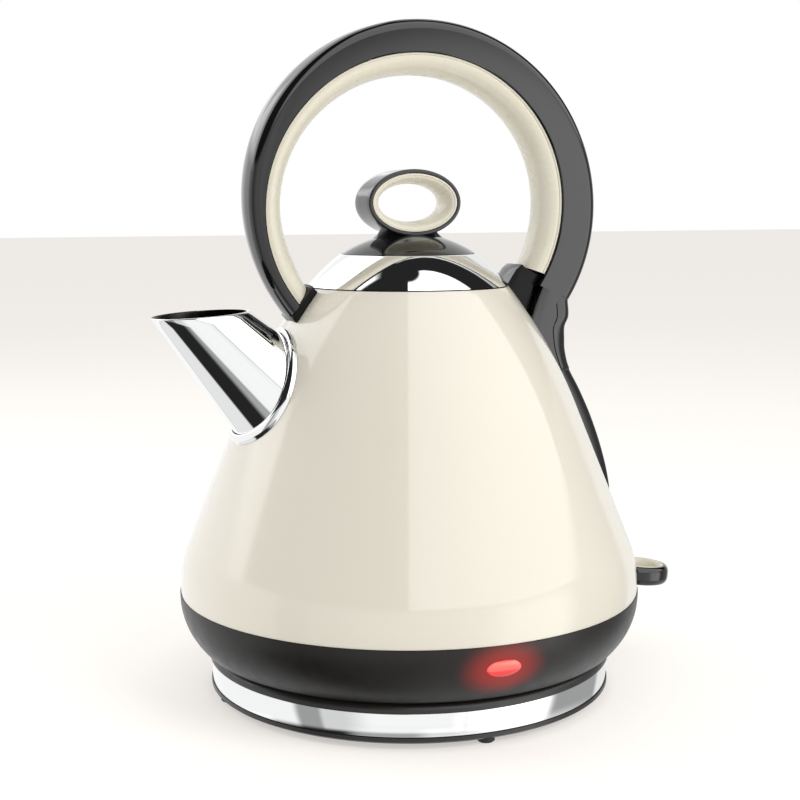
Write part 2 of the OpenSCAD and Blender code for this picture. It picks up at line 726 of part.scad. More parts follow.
// U-shaped section of the handle's back, th deep and w half-wide
function back_section(th, w) =
    let (rc = min(grip_round, th - 1.2), ri = max(rc - grip_wall, 0.4), x = th - grip_wall - ri,
         y = w - grip_wall - ri)
    concat([[0, -w]], arc([th - rc, -w + rc], rc, -90, 0, 3), arc([th - rc, w - rc], rc, 0, 90, 3),
           [[0, w], [0, w - grip_wall]],
           arc([x, y], ri, 90, 0, 3), arc([x, -y], ri, 0, -90, 3), [[0, -w + grip_wall]]);

// Hollow rounded section of the lining
function liner_section(w) =
    concat([for (q = [0:22.5:180]) [-fit - liner_crown * sin(q), w * cos(q)]],
           [for (q = [180:-22.5:0]) [-fit - (liner_crown - 2) * sin(q), (w - 2) * cos(q)]]);

function ring_station(a, w_less, kind) =
    let (p = ring_inner(a), d = ring_outer(a) - p, th = norm(d), e = d / th, w = ring_w(a) - w_less)
    placed(kind == "back" ? back_section(th, w) : liner_section(w), p, e);

module ring_back() {
    n = 38;
    skin([for (i = [0:n]) ring_station(ring_rear + (ring_front - ring_rear) * i / n, 0, "back")]);
}

module ring_liner() {
    n = 36;
    skin([for (i = [0:n]) ring_station(liner_rear + (ring_front - liner_rear) * i / n, 1, "liner")]);
}

// Point part of the way across the ring's side, from its inner edge at 0 to its outer edge at 1
function across_ring(a, share) = ring_inner(a) + (ring_outer(a) - ring_inner(a)) * share;

// Side view of the web between the ring's back, the tail and the wall
function web_outline() =
    let (steps = 8)
    concat([across_ring(ring_rear + 3, 0.1), across_ring(ring_rear + 3, 0.78), across_ring(ring_rear, 0.84),
            [tail_back(tail_top + fit) - 1.4, tail_top + fit]],
           [for (i = [0:steps]) let (z = tail_top - (tail_top - web_low) * i / steps)
               [tail_front(z) - fit, i == 0 ? z + fit : z]],
           [[body_r_at(web_low) - 3, web_low], [body_r_at(neck_z - 17) - 3, neck_z - 20],
            ring_inner(ring_rear) + [-1.9, -8.5]]);

module handle_frame() color(black) difference() {
    union() {
        difference() {
            ring_back();
            body_solid(land + fit);
        }
        plate(web_outline(), grip_w - 0.4);
        intersection() {
            at_wall(foot_z, -1) disc(3.1, land + fit, 16, SMALL);
            plate([ring_c, ring_outer(205), ring_outer(214), ring_outer(ring_front)], toe_w - 2.4);
        }
    }
    body_solid(fit);
    at_wall(foot_z, -1) disc(1.4, -far / 10, 13, SMALL);
}

module handle_liner() color(cream) difference() {
    ring_liner();
    body_solid(land + fit);
}

module handle_front_foot() color(black) difference() {
    intersection() {
        plate(concat([for (a = [196:4:ring_front]) ring_outer(a)],
                     [for (a = [ring_front:-4:196]) ring_inner(a) + (liner_crown + 0.4)
                        * (ring_c - ring_inner(a)) / norm(ring_c - ring_inner(a))]), toe_w);
        body_solid(land);
    }
    body_solid(fit);
    at_wall(foot_z, -1) disc(2, -far / 10, far / 10, SMALL);
}

module handle_rear_block() color(black) {
    seat = ring_inner(liner_rear);
    inward = (ring_c - seat) / norm(ring_c - seat);
    crest = seat + (liner_crown + 0.3) * inward;
    difference() {
        plate([seat + [0.4, -1.2], crest + [0.2, -1.4], crest + [-2.4, 1.2], crest + [-5.1, -0.6],
               [body_r_at(neck_z - 1.6) - 3, neck_z - 3], [body_r_at(neck_z - 13) - 4, neck_z - 13],
               ring_inner(ring_rear) + [-3.2, -10.6], ring_inner(ring_rear) + [-0.9, 0.6]], block_w);
        body_solid(fit);
        at_wall(foot_z, 1) disc(1.4, -far / 10, 8, SMALL);
        at_wall(neck_z - 14, 1) for (y = [-6, 6]) translate([0, y, 0]) disc(1.6, -4, 5, SMALL);
    }
}

// Level section of the tail at height z
function tail_section(z) =
    let (x1 = tail_back(z), x0 = z > web_low ? tail_front(z) : body_r_at(z) - 4,
         w = tail_w - 3 * ease((web_low - z) / 60), rc = min(3.6, (x1 - body_r_at(z)) * 0.8))
    [for (p = concat([[x0, -w]], arc([x1 - rc, -w + rc], rc, -90, 0, 4),
                     arc([x1 - rc, w - rc], rc, 0, 90, 4), [[x0, w]])) [p.x, p.y, z]];

module handle_tail() color(black) difference() {
    n = 24;
    skin(backwards([for (i = [0:n]) tail_section(neck_z - tail_tip
                    + (tail_top - neck_z + tail_tip) * i / n)]));
    body_solid(fit);
    at_wall(tail_screw_z, 1) disc(1.4, -far / 10, 6.2, SMALL);
}

module handle_brackets() color(steel) difference() {
    union() {
        at_wall(foot_z, -1) translate([-5, -7, -wall - 2.4]) cube([10, 14, 1.4]);
        at_wall(foot_z, 1) translate([-5, -7, -wall - 2.4]) cube([10, 14, 1.4]);
        at_wall(tail_screw_z, 1) translate([-8, -5, -wall - 1.8]) cube([16, 10, 1.4]);
    }
    at_wall(foot_z, -1) disc(2, -9, 9, SMALL);
    at_wall(foot_z, 1) disc(2, -9, 9, SMALL);
    at_wall(tail_screw_z, 1) disc(2, -9, 9, SMALL);
}

module wall_screw(z, side, under, length) at_wall(z, side) {
    disc(3.4, under - 1.8, under, SMALL);
    disc(1.3, under, length, SMALL);
}

module handle_screws() color(steel) {
    wall_screw(foot_z, -1, -wall - 2.4, 12);
    wall_screw(foot_z, 1, -wall - 2.4, 7.5);
    wall_screw(tail_screw_z, 1, -wall - 1.8, 5.8);
}

// ------------------------------------------------------------------- filter

// Filter coordinates: y across, z up the panel, x towards the spout
module at_filter() translate([filter_c.x, 0, filter_c.y]) rotate([0, filter_tilt, 0])
    mirror([1, 0, 0]) children();

module filter_rails() color("#d9d6cc") intersection() {
    at_filter() difference() {
        union() {
            for (side = [-1, 1]) translate([-filter_t / 2 - 1.8, side * (filter_w + 0.9) - 2.1, -filter_h - 1.6])
                cube([16, 4.2, 34]);
            translate([-filter_t / 2 - 1.8, -filter_w - 3, -filter_h - 1.6])
                cube([filter_t + 3.6, 2 * filter_w + 6, 1.3]);
        }
        translate([-filter_t / 2 - loose, -filter_w - loose, -filter_h - loose])
            cube([filter_t + 2 * loose, 2 * (filter_w + loose), far]);
    }
    body_solid(-wall - fit);
}

module filter_frame() color("#e3e0d6") at_filter() difference() {
    union() {
        translate([-filter_t / 2, -filter_w, -filter_h]) cube([filter_t, 2 * filter_w, 2 * filter_h]);
        for (y = [-8.4, 4.4]) translate([-0.8, y, filter_h - 0.5]) cube([1.6, 4, 4]);
    }
    translate([-filter_t, -filter_w + filter_bar, -filter_h + filter_bar])
        cube([2 * filter_t, 2 * (filter_w - filter_bar), 2 * (filter_h - filter_bar)]);
}

module filter_mesh() color(steel) at_filter() {
    half_w = filter_w - filter_bar - 0.05;
    half_h = filter_h - filter_bar - 0.05;
    wire = 0.5;
    n_across = 10;
    n_up = 11;
    for (i = [0:n_across]) translate([-wire, -half_w + i * (2 * half_w - wire) / n_across, -half_h])
        cube([wire, wire, 2 * half_h]);
    for (i = [0:n_up]) translate([-wire / 2, -half_w, -half_h + i * (2 * half_h - wire) / n_up])
        cube([wire, 2 * half_w, wire]);
}

// ---------------------------------------------------------------------- lid

module lid_dome() color(chrome) {
    low = [dome_r, lid_z];
    high = [cap_r, cap_z];
    difference() {
        turned(concat(bulge(low, high, dome_curve), backwards(bulge(low, high, dome_curve, dome_t))));
        disc(far, 0, lid_z);
    }
    tube(cap_r - 4, cap_r - 0.7, cap_z - 1.9, cap_z - 0.9);
}

module lid_cap() color(black) {
    c = [0, cap_top - cap_curve];
    edge = asin((cap_z + 0.1 - c.y) / cap_curve);
    low = asin((cap_z + 0.1 - c.y) / (cap_curve - cap_t));
    difference() {
        union() {
            turned(concat(arc(c, cap_curve, edge, 90, 12), backwards(arc(c, cap_curve - cap_t, low, 90, 12))));
            tube(cap_r - 6, cap_r - 4 - fit, cap_z - 1.8, cap_z + 1.2);
            plate([[-10.5, cap_top - 3.6], [10.5, cap_top - 3.6], [9.8, cap_top + 2],
                   [-9.8, cap_top + 2]], knob_w - 1.5);
            around(3, lid_screw_at, 60) disc(3, lid_split, cap_top - 4.6, SMALL);
        }
        plate([for (q = ellipse(knob_a + fit, knob_b + fit)) q + [0, knob_z]], far);
        around(3, lid_screw_at, 60) disc(1.3, 0, cap_top - 5.8, SMALL);
        disc(1.7, 0, far, SMALL);
        disc(3.3, 0, cap_top - cap_t - 0.35, SMALL);
    }
}

module lid_knob() color(black) difference() {
    union() {
        plate([for (q = ellipse(knob_a, knob_b)) q + [0, knob_z]], knob_w - 0.6);
        plate([for (q = ellipse(knob_a - 0.6, knob_b - 0.6)) q + [0, knob_z]], knob_w);
    }
    plate([for (q = ellipse(knob_a - knob_rim, knob_b - knob_rim)) q + [0, knob_z]], far);
    disc(1.3, 0, knob_z, SMALL);
}

module lid_knob_liner() color(cream) difference() {
    n = 40;
    a = knob_a - knob_rim - fit;
    b = knob_b - knob_rim - fit;
    w = knob_w - 0.3;
    section = [for (q = [0:22.5:180]) [-knob_crown * sin(q), w * cos(q)]];
    skin([for (i = [0:n - 1]) let (t = 360 * i / n, e = [b * cos(t), a * sin(t)])
        placed(section, [a * cos(t), knob_z + b * sin(t)], e / norm(e))], true);
    disc(1.3, 0, knob_z - knob_b + 4.6, SMALL);
}

module knob_screw() color(steel) {
    disc(3, cap_top - cap_t - 2.4, cap_top - cap_t - 0.4, SMALL);
    disc(1.2, cap_top - cap_t - 0.6, knob_z - knob_b + 4.2, SMALL);
}

module lid_plug() color("#33322f") difference() {
    union() {
        disc(plug_r, plug_z, plug_z + 2);
        tube(plug_r - 2, plug_r, plug_z, lid_z + 0.2);
        tube(plug_r - 2, neck_r - 3.4, lid_z - 0.2, lid_z + 1.2);
        tube(plug_r - 0.5, plug_r + 1, plug_z + 3.4, plug_z + 4.8);
        tube(plug_r - 0.5, plug_r + 1, plug_z + 11.2, plug_z + 12.4);
        around(3, lid_screw_at, 60) disc(3, plug_z + 1, lid_split - fit, SMALL);
    }
    around(3, lid_screw_at, 60) disc(1.5, 0, far, SMALL);
    around(3, lid_screw_at, 60) disc(2.6, 0, plug_z + 1.2, SMALL);
}

module lid_seal() color("#8d8a84") {
    tube(plug_r + 0.05, plug_r + 1.2, plug_z + 4.9, plug_z + 11.1);
    tube(plug_r + 0.6, plug_r + seal_t, plug_z + 6, plug_z + 7.2);
    tube(plug_r + 0.6, plug_r + seal_t, plug_z + 8.8, plug_z + 10);
}

module lid_screws() color(steel) around(3, lid_screw_at, 60) {
    disc(2.4, plug_z + 0.2, plug_z + 1.2, SMALL);
    disc(1.2, plug_z + 1.2, cap_top - 6.4, SMALL);
}

// ------------------------------------------------------------------- switch

module at_loop() translate([lever_c.x, 0, lever_c.y]) rotate([0, lever_tilt, 0]) children();

module loop_plate(a, b, half) linear_extrude(height = 2 * half, center = true) polygon(ellipse(a, b));

module switch_lever() color(black) difference() {
    union() {
        at_loop() loop_plate(lever_a, lever_b, lever_t / 2 - 0.9);
        at_loop() loop_plate(lever_a - 0.8, lever_b - 0.8, lever_t / 2);
        plate([[pivot.x, pivot.y - arm_t / 2], [body_r + 6, pivot.y - arm_t / 2],
               [body_r + 6, pivot.y + arm_t / 2], [pivot.x, pivot.y + arm_t / 2]], arm_w);
        cross_pin(pivot, boss_r, arm_w + 0.8);
    }
    at_loop() loop_plate(lever_a - lever_rim, lever_b - lever_rim, far / 2);
    cross_pin(pivot, pivot_r + run, far);
}

module switch_lever_liner() color(cream) at_loop() difference() {
    loop_plate(lever_a - lever_rim - fit, lever_b - lever_rim - fit, lever_t / 2 + 0.1);
    loop_plate(lever_a - lever_rim - lever_lining, lever_b - lever_rim - lever_lining, far / 2);
}

module trip_lever() color("#c9c4b8") difference() {
    union() {
        cross_pin(trip_pivot, 3, arm_w);
        plate([[trip_pivot.x - 1.5, trip_pivot.y], [trip_pivot.x + 1.5, trip_pivot.y],
               [trip_pivot.x + 1.1, trip_pivot.y + 10], [trip_pivot.x - 1.1, trip_pivot.y + 10]], 3);
    }
    cross_pin(trip_pivot, trip_r + run, far);
}

base_bottom();
base_top();
base_trim_ring();
base_feet();
base_screws();
base_connector();
base_contacts();
base_terminals();
cord_gland();
kettle_connector();
connector_pin();
connector_rings();
body_shell();
neck_collar();
spout();
spout_collar();
base_skirt();
underside_cover();
cover_screws();
heater_plate();
plate_seal();
diffuser_plate();
heating_element();
element_terminals();
control_unit();
bimetal_discs();
steam_tube();
steam_tube_grommet();
indicator_lens();
indicator_lamp();
lamp_holder();
switch_housing();
switch_pivot_pin();
trip_pivot_pin();
handle_frame();
handle_liner();
handle_front_foot();
handle_rear_block();
handle_tail();
handle_brackets();
handle_screws();
filter_rails();
lid_dome();
lid_cap();
lid_knob();
lid_knob_liner();
knob_screw();
lid_plug();
lid_seal();
lid_screws();
filter_frame();
filter_mesh();
switch_lever();
switch_lever_liner();
trip_lever();
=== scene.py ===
"""Looks of the electric kettle. Lengths are in millimetres; build_mesh() turns them into metres."""

from math import asin, atan2, cos, degrees, hypot, pi, radians, sin, sqrt, tan

import bmesh
import bpy
from mathutils import Matrix, Vector


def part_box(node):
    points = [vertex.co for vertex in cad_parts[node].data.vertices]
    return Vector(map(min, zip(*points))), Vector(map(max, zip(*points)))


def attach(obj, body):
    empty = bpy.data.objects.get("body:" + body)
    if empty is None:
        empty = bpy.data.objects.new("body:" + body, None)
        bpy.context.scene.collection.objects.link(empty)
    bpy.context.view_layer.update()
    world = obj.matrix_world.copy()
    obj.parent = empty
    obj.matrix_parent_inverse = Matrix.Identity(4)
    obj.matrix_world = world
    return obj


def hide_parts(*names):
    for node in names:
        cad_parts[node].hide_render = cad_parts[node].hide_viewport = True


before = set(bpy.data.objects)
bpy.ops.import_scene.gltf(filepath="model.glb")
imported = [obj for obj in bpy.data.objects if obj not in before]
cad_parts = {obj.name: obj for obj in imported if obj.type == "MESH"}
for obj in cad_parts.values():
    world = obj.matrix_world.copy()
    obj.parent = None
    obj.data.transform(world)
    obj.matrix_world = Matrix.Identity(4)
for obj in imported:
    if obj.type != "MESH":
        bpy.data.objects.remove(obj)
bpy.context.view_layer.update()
MM = 0.001


def node_box(node):
    low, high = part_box(node)
    return low / MM, high / MM


# ---------------------------------------------------------------- camera

CAMERA_AT = (-0.2216, -0.5626, 0.2055)
CAMERA_TILT = 82.22
CAMERA_TURN = -21.16
CAMERA_ROLL = -0.20
CAMERA_LENS = 64.17


def add_camera():
    data = bpy.data.cameras.new("camera")
    data.lens = CAMERA_LENS
    data.sensor_width = 36
    data.clip_start = 0.01
    camera = bpy.data.objects.new("camera", data)
    turn = Matrix.Rotation(radians(CAMERA_TURN), 4, "Z") @ Matrix.Rotation(radians(CAMERA_TILT), 4, "X")
    roll = Matrix.Rotation(radians(CAMERA_ROLL), 4, "Z")
    camera.matrix_world = Matrix.Translation(CAMERA_AT) @ turn @ roll
    bpy.context.scene.collection.objects.link(camera)
    bpy.context.scene.camera = camera


add_camera()

# ---------------------------------------------------------------- driving sizes

shell_low, shell_high = node_box("body_shell")
BODY_R = shell_high.x
SEAM_Z = shell_low.z
NECK_Z = shell_high.z
NECK_R = 42.6
HIP_R = 45.3
CROWN_R = 206.9
WALL_LEAN = 2.05
WALL = 1.0
FIT = 0.15

SKIRT_ROUND = 29.5
SKIRT_WALL = 2.6
FLANGE = 2.2
skirt_low, skirt_high = node_box("base_skirt")
SKIRT_Z = skirt_low.z
SKIRT_R = skirt_high.x
LENS = dict(a=7.0, b=3.5, z=34.0, rise=0.6)

dome_low, dome_high = node_box("lid_dome")
DOME_R = dome_high.x
DOME_CURVE = 79
DOME_WALL = 1.2
CAP_R = 28.7
CAP_Z = NECK_Z + 13.7
CAP_TOP = CAP_Z + 8.8
CAP_WALL = 1.8
PEDESTAL_A = 11.6
PEDESTAL_IN = 1.6
PEDESTAL_SQUARE = 0.7
knob_low, knob_high = node_box("lid_knob")
KNOB_A = (knob_high.x - knob_low.x) / 2
KNOB_B = (knob_high.z - knob_low.z) / 2
KNOB_W = knob_high.y
KNOB_Z = (knob_high.z + knob_low.z) / 2
KNOB_RIM = 1.6
KNOB_CROWN = 4.2
KNOB_BEAD = 0.95

RING_C = Vector((1.64, NECK_Z + 33.3))
RING_IN = Vector((66.0, 62.6))
RING_IN_TILT = 9.8
RING_OUT_C = RING_C + Vector((5.1, 1.1))
RING_OUT = Vector((77.6, 74.8))
RING_OUT_TILT = -20.4
RING_FRONT = 228
RING_REAR = -33
LINER_REAR = -28
GRIP_W = 11.0
TOE_W = 8.2
GRIP_ROUND = 4.2
GRIP_WALL = 2.2
LINER_CROWN = 8.8
LAND = 3.0
BLOCK_W = 0.7 * GRIP_W
TAIL_W = GRIP_W - 0.3
TAIL_ROUND = 2.6
TOE_FROM = 196
TAIL_KEYS = [(14.5, 19.6), (18.6, 15.3), (23.9, 12.1), (29.1, 9.4), (36.5, 7.6), (47.5, 9.0),
             (59, 10.4), (73, 10.7), (86, 9.5), (97, 6.6), (106, 1.6)]

SPOUT_Z = 135.6
SPOUT_PITCH = 46.6
SPOUT_R = 20.6
SPOUT_TAPER = 8.6
SPOUT_WIDE = 1.17
SPOUT_LEN = 36.8
SPOUT_OUT = 1.9
SPOUT_ROUND = 144
SPOUT_WALL = 1.2
LIP_TILT = 3.3
RIM_W = 2.8
RIM_T = 2.2

LOOP_A = 14.2
LOOP_B = 13.5
LOOP_T = 8.4
LOOP_RIM = 2.4
LOOP_LINING = 2.4
LOOP_TILT = 5.5
BOSS_R = 4.2
BOSS_W = 8.8
ARM_W = 8.0
SLOT_W = 9.2
PIVOT = Vector((BODY_R - 11, LENS["z"] + 2.8))
LOOP_C = Vector((BODY_R + 2 + LOOP_A, PIVOT.y))

band_low, band_high = node_box("base_trim_ring")
top_high = node_box("base_top")[1]
BASE_ROUND = 3.2
WELL_R = 79.2
WELL_Z = 14.0
WELL_HOLE = 14.6
CORD_HOLE_R = 4.65

# ---------------------------------------------------------------- outlines


def arc(c, r, a0, a1, n=8):
    """Points on a circle's arc, in degrees. c is (x, z)."""
    angles = [radians(a0 + (a1 - a0) * i / n) for i in range(n + 1)]
    return [Vector((c[0] + r * cos(a), c[1] + r * sin(a))) for a in angles]


def bulge(p, q, r, less=0.0, n=24):
    """The arc of radius r from p to q that bulges to the right of travel."""
    p, q = Vector(p), Vector(q)
    d = q - p
    side = Vector((d.y, -d.x)).normalized()
    c = (p + q) / 2 - side * sqrt(r * r - d.length_squared / 4)
    a, b = p - c, q - c
    return arc(c, r - less, degrees(atan2(a.y, a.x)), degrees(atan2(b.y, b.x)), n)


def rounded(points, radius, n=4):
    """A closed outline with its corners rounded."""
    out = []
    count = len(points)
    for i, p in enumerate(points):
        p = Vector(p)
        a, b = Vector(points[i - 1]) - p, Vector(points[(i + 1) % count]) - p
        turn = a.angle(b, 0.0) if a.length > 1e-6 and b.length > 1e-6 else pi
        if turn > radians(160) or turn < radians(5):
            out.append(p)
            continue
        reach = min(radius / tan(turn / 2), 0.45 * a.length, 0.45 * b.length)
        s, e = p + a.normalized() * reach, p + b.normalized() * reach
        for k in range(n + 1):
            t = k / n
            out.append(s * (1 - t) ** 2 + p * 2 * t * (1 - t) + e * t * t)
    return out


hip_z = SEAM_Z + 2.9
wall_angle = atan2(BODY_R - NECK_R, NECK_Z - hip_z) - radians(WALL_LEAN)
hip_c = Vector((BODY_R - HIP_R, hip_z))
along = Vector((-sin(wall_angle), cos(wall_angle)))
outward = Vector((cos(wall_angle), sin(wall_angle)))
wall_low = hip_c + HIP_R * outward
to_neck = Vector((NECK_R, NECK_Z)) - wall_low
neck_in = to_neck.dot(outward)
wall_high = wall_low + along * (to_neck.dot(along) - sqrt(-neck_in * (neck_in + 2 * CROWN_R)))
crown_c = wall_high - CROWN_R * outward
neck_angle = degrees(asin((NECK_Z - crown_c.y) / CROWN_R))


def body_outline(off, n=1):
    lean = degrees(wall_angle)
    straight = [wall_low + outward * off + (wall_high - wall_low) * k / (6 * n) for k in range(1, 6 * n)]
    return ([Vector((BODY_R + off, SEAM_Z))] + arc(hip_c, HIP_R + off, 0, lean, 12 * n)
            + straight + arc(crown_c, CROWN_R + off, lean, neck_angle, 14 * n))


def body_r_at(z):
    if z < hip_z:
        return BODY_R
    if z < wall_low.y:
        return hip_c.x + sqrt(HIP_R ** 2 - (z - hip_c.y) ** 2)
    if z < wall_high.y:
        return wall_low.x - (z - wall_low.y) * tan(wall_angle)
    return crown_c.x + sqrt(CROWN_R ** 2 - (z - crown_c.y) ** 2)


def wall_gap(point):
    """How far a 3-D point stands off the body's outer surface, negative inside."""
    p = Vector((hypot(point.x, point.y), point.z))
    if (p - wall_high).dot(along) > 0:
        return (p - crown_c).length - CROWN_R
    if (p - wall_low).dot(along) > 0:
        return (p - wall_low).dot(outward)
    return (p - hip_c).length - HIP_R if p.y > hip_z else p.x - BODY_R


skirt_arc_z = SEAM_Z - 1.3
skirt_c = Vector((SKIRT_R - SKIRT_ROUND, skirt_arc_z))
skirt_end = -degrees(asin((skirt_arc_z - SKIRT_Z) / SKIRT_ROUND))


def skirt_r_at(z, off=0.0):
    if z > skirt_arc_z:
        return SKIRT_R + off
    return skirt_c.x + sqrt((SKIRT_ROUND + off) ** 2 - (z - skirt_c.y) ** 2)


def ellipse(a, b, n=48):
    return [Vector((a * cos(2 * pi * i / n), b * sin(2 * pi * i / n))) for i in range(n)]


def ellipse_at(c, half, tilt, a):
    x, y, t = half.x * cos(radians(a - tilt)), half.y * sin(radians(a - tilt)), radians(tilt)
    return c + Vector((x * cos(t) - y * sin(t), x * sin(t) + y * cos(t)))


def ring_inner(a):
    return ellipse_at(RING_C, RING_IN, RING_IN_TILT, a)


def ring_outer(a):
    return ellipse_at(RING_OUT_C, RING_OUT, RING_OUT_TILT, a)


def ease(t):
    t = min(max(t, 0.0), 1.0)
    return t * t * (3 - 2 * t)


def ring_w(a):
    return GRIP_W - (GRIP_W - TOE_W) * ease((a - 130) / 80)


def through(keys, x):
    """Value at x of a smooth curve through keys, a list of (x, value)."""
    i = 0
    while i < len(keys) - 2 and x > keys[i + 1][0]:
        i += 1
    p, q = keys[i], keys[i + 1]
    before, after = keys[max(i - 1, 0)], keys[min(i + 2, len(keys) - 1)]
    span, t = q[0] - p[0], (x - p[0]) / (q[0] - p[0])
    m0 = (q[1] - before[1]) / (q[0] - before[0]) * span
    m1 = (after[1] - p[1]) / (after[0] - p[0]) * span
    return ((2 * t ** 3 - 3 * t * t + 1) * p[1] + (t ** 3 - 2 * t * t + t) * m0
            + (3 * t * t - 2 * t ** 3) * q[1] + (t ** 3 - t * t) * m1)


ring_end = ring_outer(RING_REAR)
tail_all = [(NECK_Z - ring_end.y, ring_end.x - body_r_at(ring_end.y))] + TAIL_KEYS
TAIL_TOP = ring_end.y - 1.5
WEB_LOW = NECK_Z - 37


def tail_back(z):
    return body_r_at(z) + through(tail_all, NECK_Z - z)


def tail_front(z):
    return tail_back(z) - 7.2 + 1.6 * ease((NECK_Z - 20 - z) / 16)


# ---------------------------------------------------------------- mesh making


def lathe(profile, n=192):
    """Vertices and faces of a closed (r, z) outline turned about Z."""
    verts, rows = [], []
    for p in profile:
        if p[0] < 1e-6:
            rows.append([len(verts)] * n)
            verts.append(Vector((0, 0, p[1])))
        else:
            rows.append(list(range(len(verts), len(verts) + n)))
            verts += [Vector((p[0] * cos(2 * pi * k / n), p[0] * sin(2 * pi * k / n), p[1]))
                      for k in range(n)]
    faces = []
    for i in range(len(rows)):
        a, b = rows[i], rows[(i + 1) % len(rows)]
        for k in range(n):
            face = [a[k], a[(k + 1) % n], b[(k + 1) % n], b[k]]
            face = [v for j, v in enumerate(face) if v not in face[:j]]
            if len(face) > 2:
                faces.append(face)
    return verts, faces


def sweep(rings, loop=False):
    """Vertices and faces of a skin through rings of points, closed on itself if loop."""
    n = len(rings[0])
    verts = [Vector(p) for r in rings for p in r]
    faces = []
    for i in range(len(rings) if loop else len(rings) - 1):
        a, b = i * n, ((i + 1) % len(rings)) * n
        faces += [[a + j, a + (j + 1) % n, b + (j + 1) % n, b + j] for j in range(n)]
    if not loop:
        faces += [list(range(n)), [(len(rings) - 1) * n + j for j in range(n - 1, -1, -1)]]
    return verts, faces


def slab(outline, half, soft=0.5, steps=3):
    """Vertices and faces of an XZ outline as a plate from -half to half, its edges softened."""
    points = [Vector(p) for p in outline]
    count = len(points)
    area = sum(points[i - 1].cross(points[i]) for i in range(count))
    turn = 1 if area > 0 else -1
    sides = []
    for i, p in enumerate(points):
        a, b = (p - points[i - 1]).normalized(), (points[(i + 1) % count] - p).normalized()
        side = Vector((a.y + b.y, -a.x - b.x)).normalized() * turn
        sides.append(side / max(side.dot(Vector((a.y, -a.x)) * turn), 0.5))
    rings = []
    for k in range(steps + 1):
        lean = radians(90 * k / steps)
        inset, y = soft * (1 - sin(lean)), -half + soft * (1 - cos(lean))
        rings.append([(p.x - s.x * inset, y, p.y - s.y * inset) for p, s in zip(points, sides)])
    rings += [[(x, -y, z) for x, y, z in ring] for ring in reversed(rings)]
    return sweep(rings)


def build_mesh(name, data, sharp=35):
    """A mesh in metres from (verts, faces) in millimetres, its faces turned outwards."""
    mesh = bpy.data.meshes.new(name)
    mesh.from_pydata([Vector(v) * MM for v in data[0]], [], data[1])
    work = bmesh.new()
    work.from_mesh(mesh)
    bmesh.ops.remove_doubles(work, verts=work.verts, dist=1e-7)
    bmesh.ops.recalc_face_normals(work, faces=work.faces)
    work.to_mesh(mesh)
    work.free()
    smooth(mesh, sharp)
    return mesh


def smooth(mesh, sharp=35):
    mesh.shade_smooth()
    mesh.set_sharp_from_angle(angle=radians(sharp))


def new_object(name, data, sharp=35):
    obj = bpy.data.objects.new(name, build_mesh(name, data, sharp))
    bpy.context.scene.collection.objects.link(obj)
    return obj


def combine(obj, data, how="DIFFERENCE", sharp=35):
    """Cuts data's solid from obj, joins it on, or keeps what both share."""
    tool = new_object("cutter", data)
    step = obj.modifiers.new("combine", "BOOLEAN")
    step.operation = how
    step.solver = "EXACT"
    step.object = tool
    bpy.context.view_layer.update()
    done = bpy.data.meshes.new_from_object(obj.evaluated_get(bpy.context.evaluated_depsgraph_get()))
    obj.modifiers.clear()
    obj.data = done
    bpy.data.objects.remove(tool)
    work = bmesh.new()
    work.from_mesh(done)
    bmesh.ops.remove_doubles(work, verts=work.verts, dist=2e-6)
    bmesh.ops.dissolve_degenerate(work, dist=2e-6, edges=work.edges)
    work.to_mesh(done)
    work.free()
    smooth(done, sharp)


def body_solid(off, n=192):
    outline = [Vector((0, SEAM_Z - 20)), Vector((BODY_R + off, SEAM_Z - 20))] + body_outline(off)
    return lathe(outline + [Vector((0, NECK_Z + off))], n)


def finish_piece(obj, body, nodes, materials):
    for m in materials:
        obj.data.materials.append(m)
    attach(obj, body)
    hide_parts(*nodes)


# ---------------------------------------------------------------- materials


class Nodes:
    """A short way to write a material's nodes."""

    def __init__(self, tree):
        self.tree = tree
        self.tree.nodes.clear()

    def add(self, kind, inputs=(), **settings):
        node = self.tree.nodes.new(kind)
        for key, value in settings.items():
            setattr(node, key, value)
        for key, value in dict(inputs).items():
            if isinstance(value, bpy.types.NodeSocket):
                self.tree.links.new(value, node.inputs[key])
            else:
                node.inputs[key].default_value = value
        return node

    def maths(self, operation, a, b=0.0):
        return self.add("ShaderNodeMath", {0: a, 1: b}, operation=operation).outputs[0]

    def bump(self, height, strength, distance):
        inputs = {"Height": height, "Strength": strength, "Distance": distance}
        return self.add("ShaderNodeBump", inputs).outputs[0]

    def noise(self, where, scale, detail=3.0, rough=0.5):
        inputs = {"Vector": where, "Scale": scale, "Detail": detail, "Roughness": rough}
        return self.add("ShaderNodeTexNoise", inputs).outputs["Fac"]

    def ramp(self, value, stops):
        node = self.add("ShaderNodeValToRGB", {"Fac": value})
        points = node.color_ramp.elements
        while len(points) < len(stops):
            points.new(0.5)
        for point, (at, colour) in zip(points, stops):
            point.position = at
            point.color = colour if len(colour) == 4 else (*colour, 1.0)
        return node.outputs["Color"]

    def spread(self, value, low, high):
        inputs = {"Value": value, "From Min": 0.3, "From Max": 0.7, "To Min": low, "To Max": high}
        return self.add("ShaderNodeMapRange", inputs).outputs["Result"]


def tint(colour, by):
    return tuple(min(max(c * by, 0.0), 1.0) for c in colour[:3]) + (1.0,)


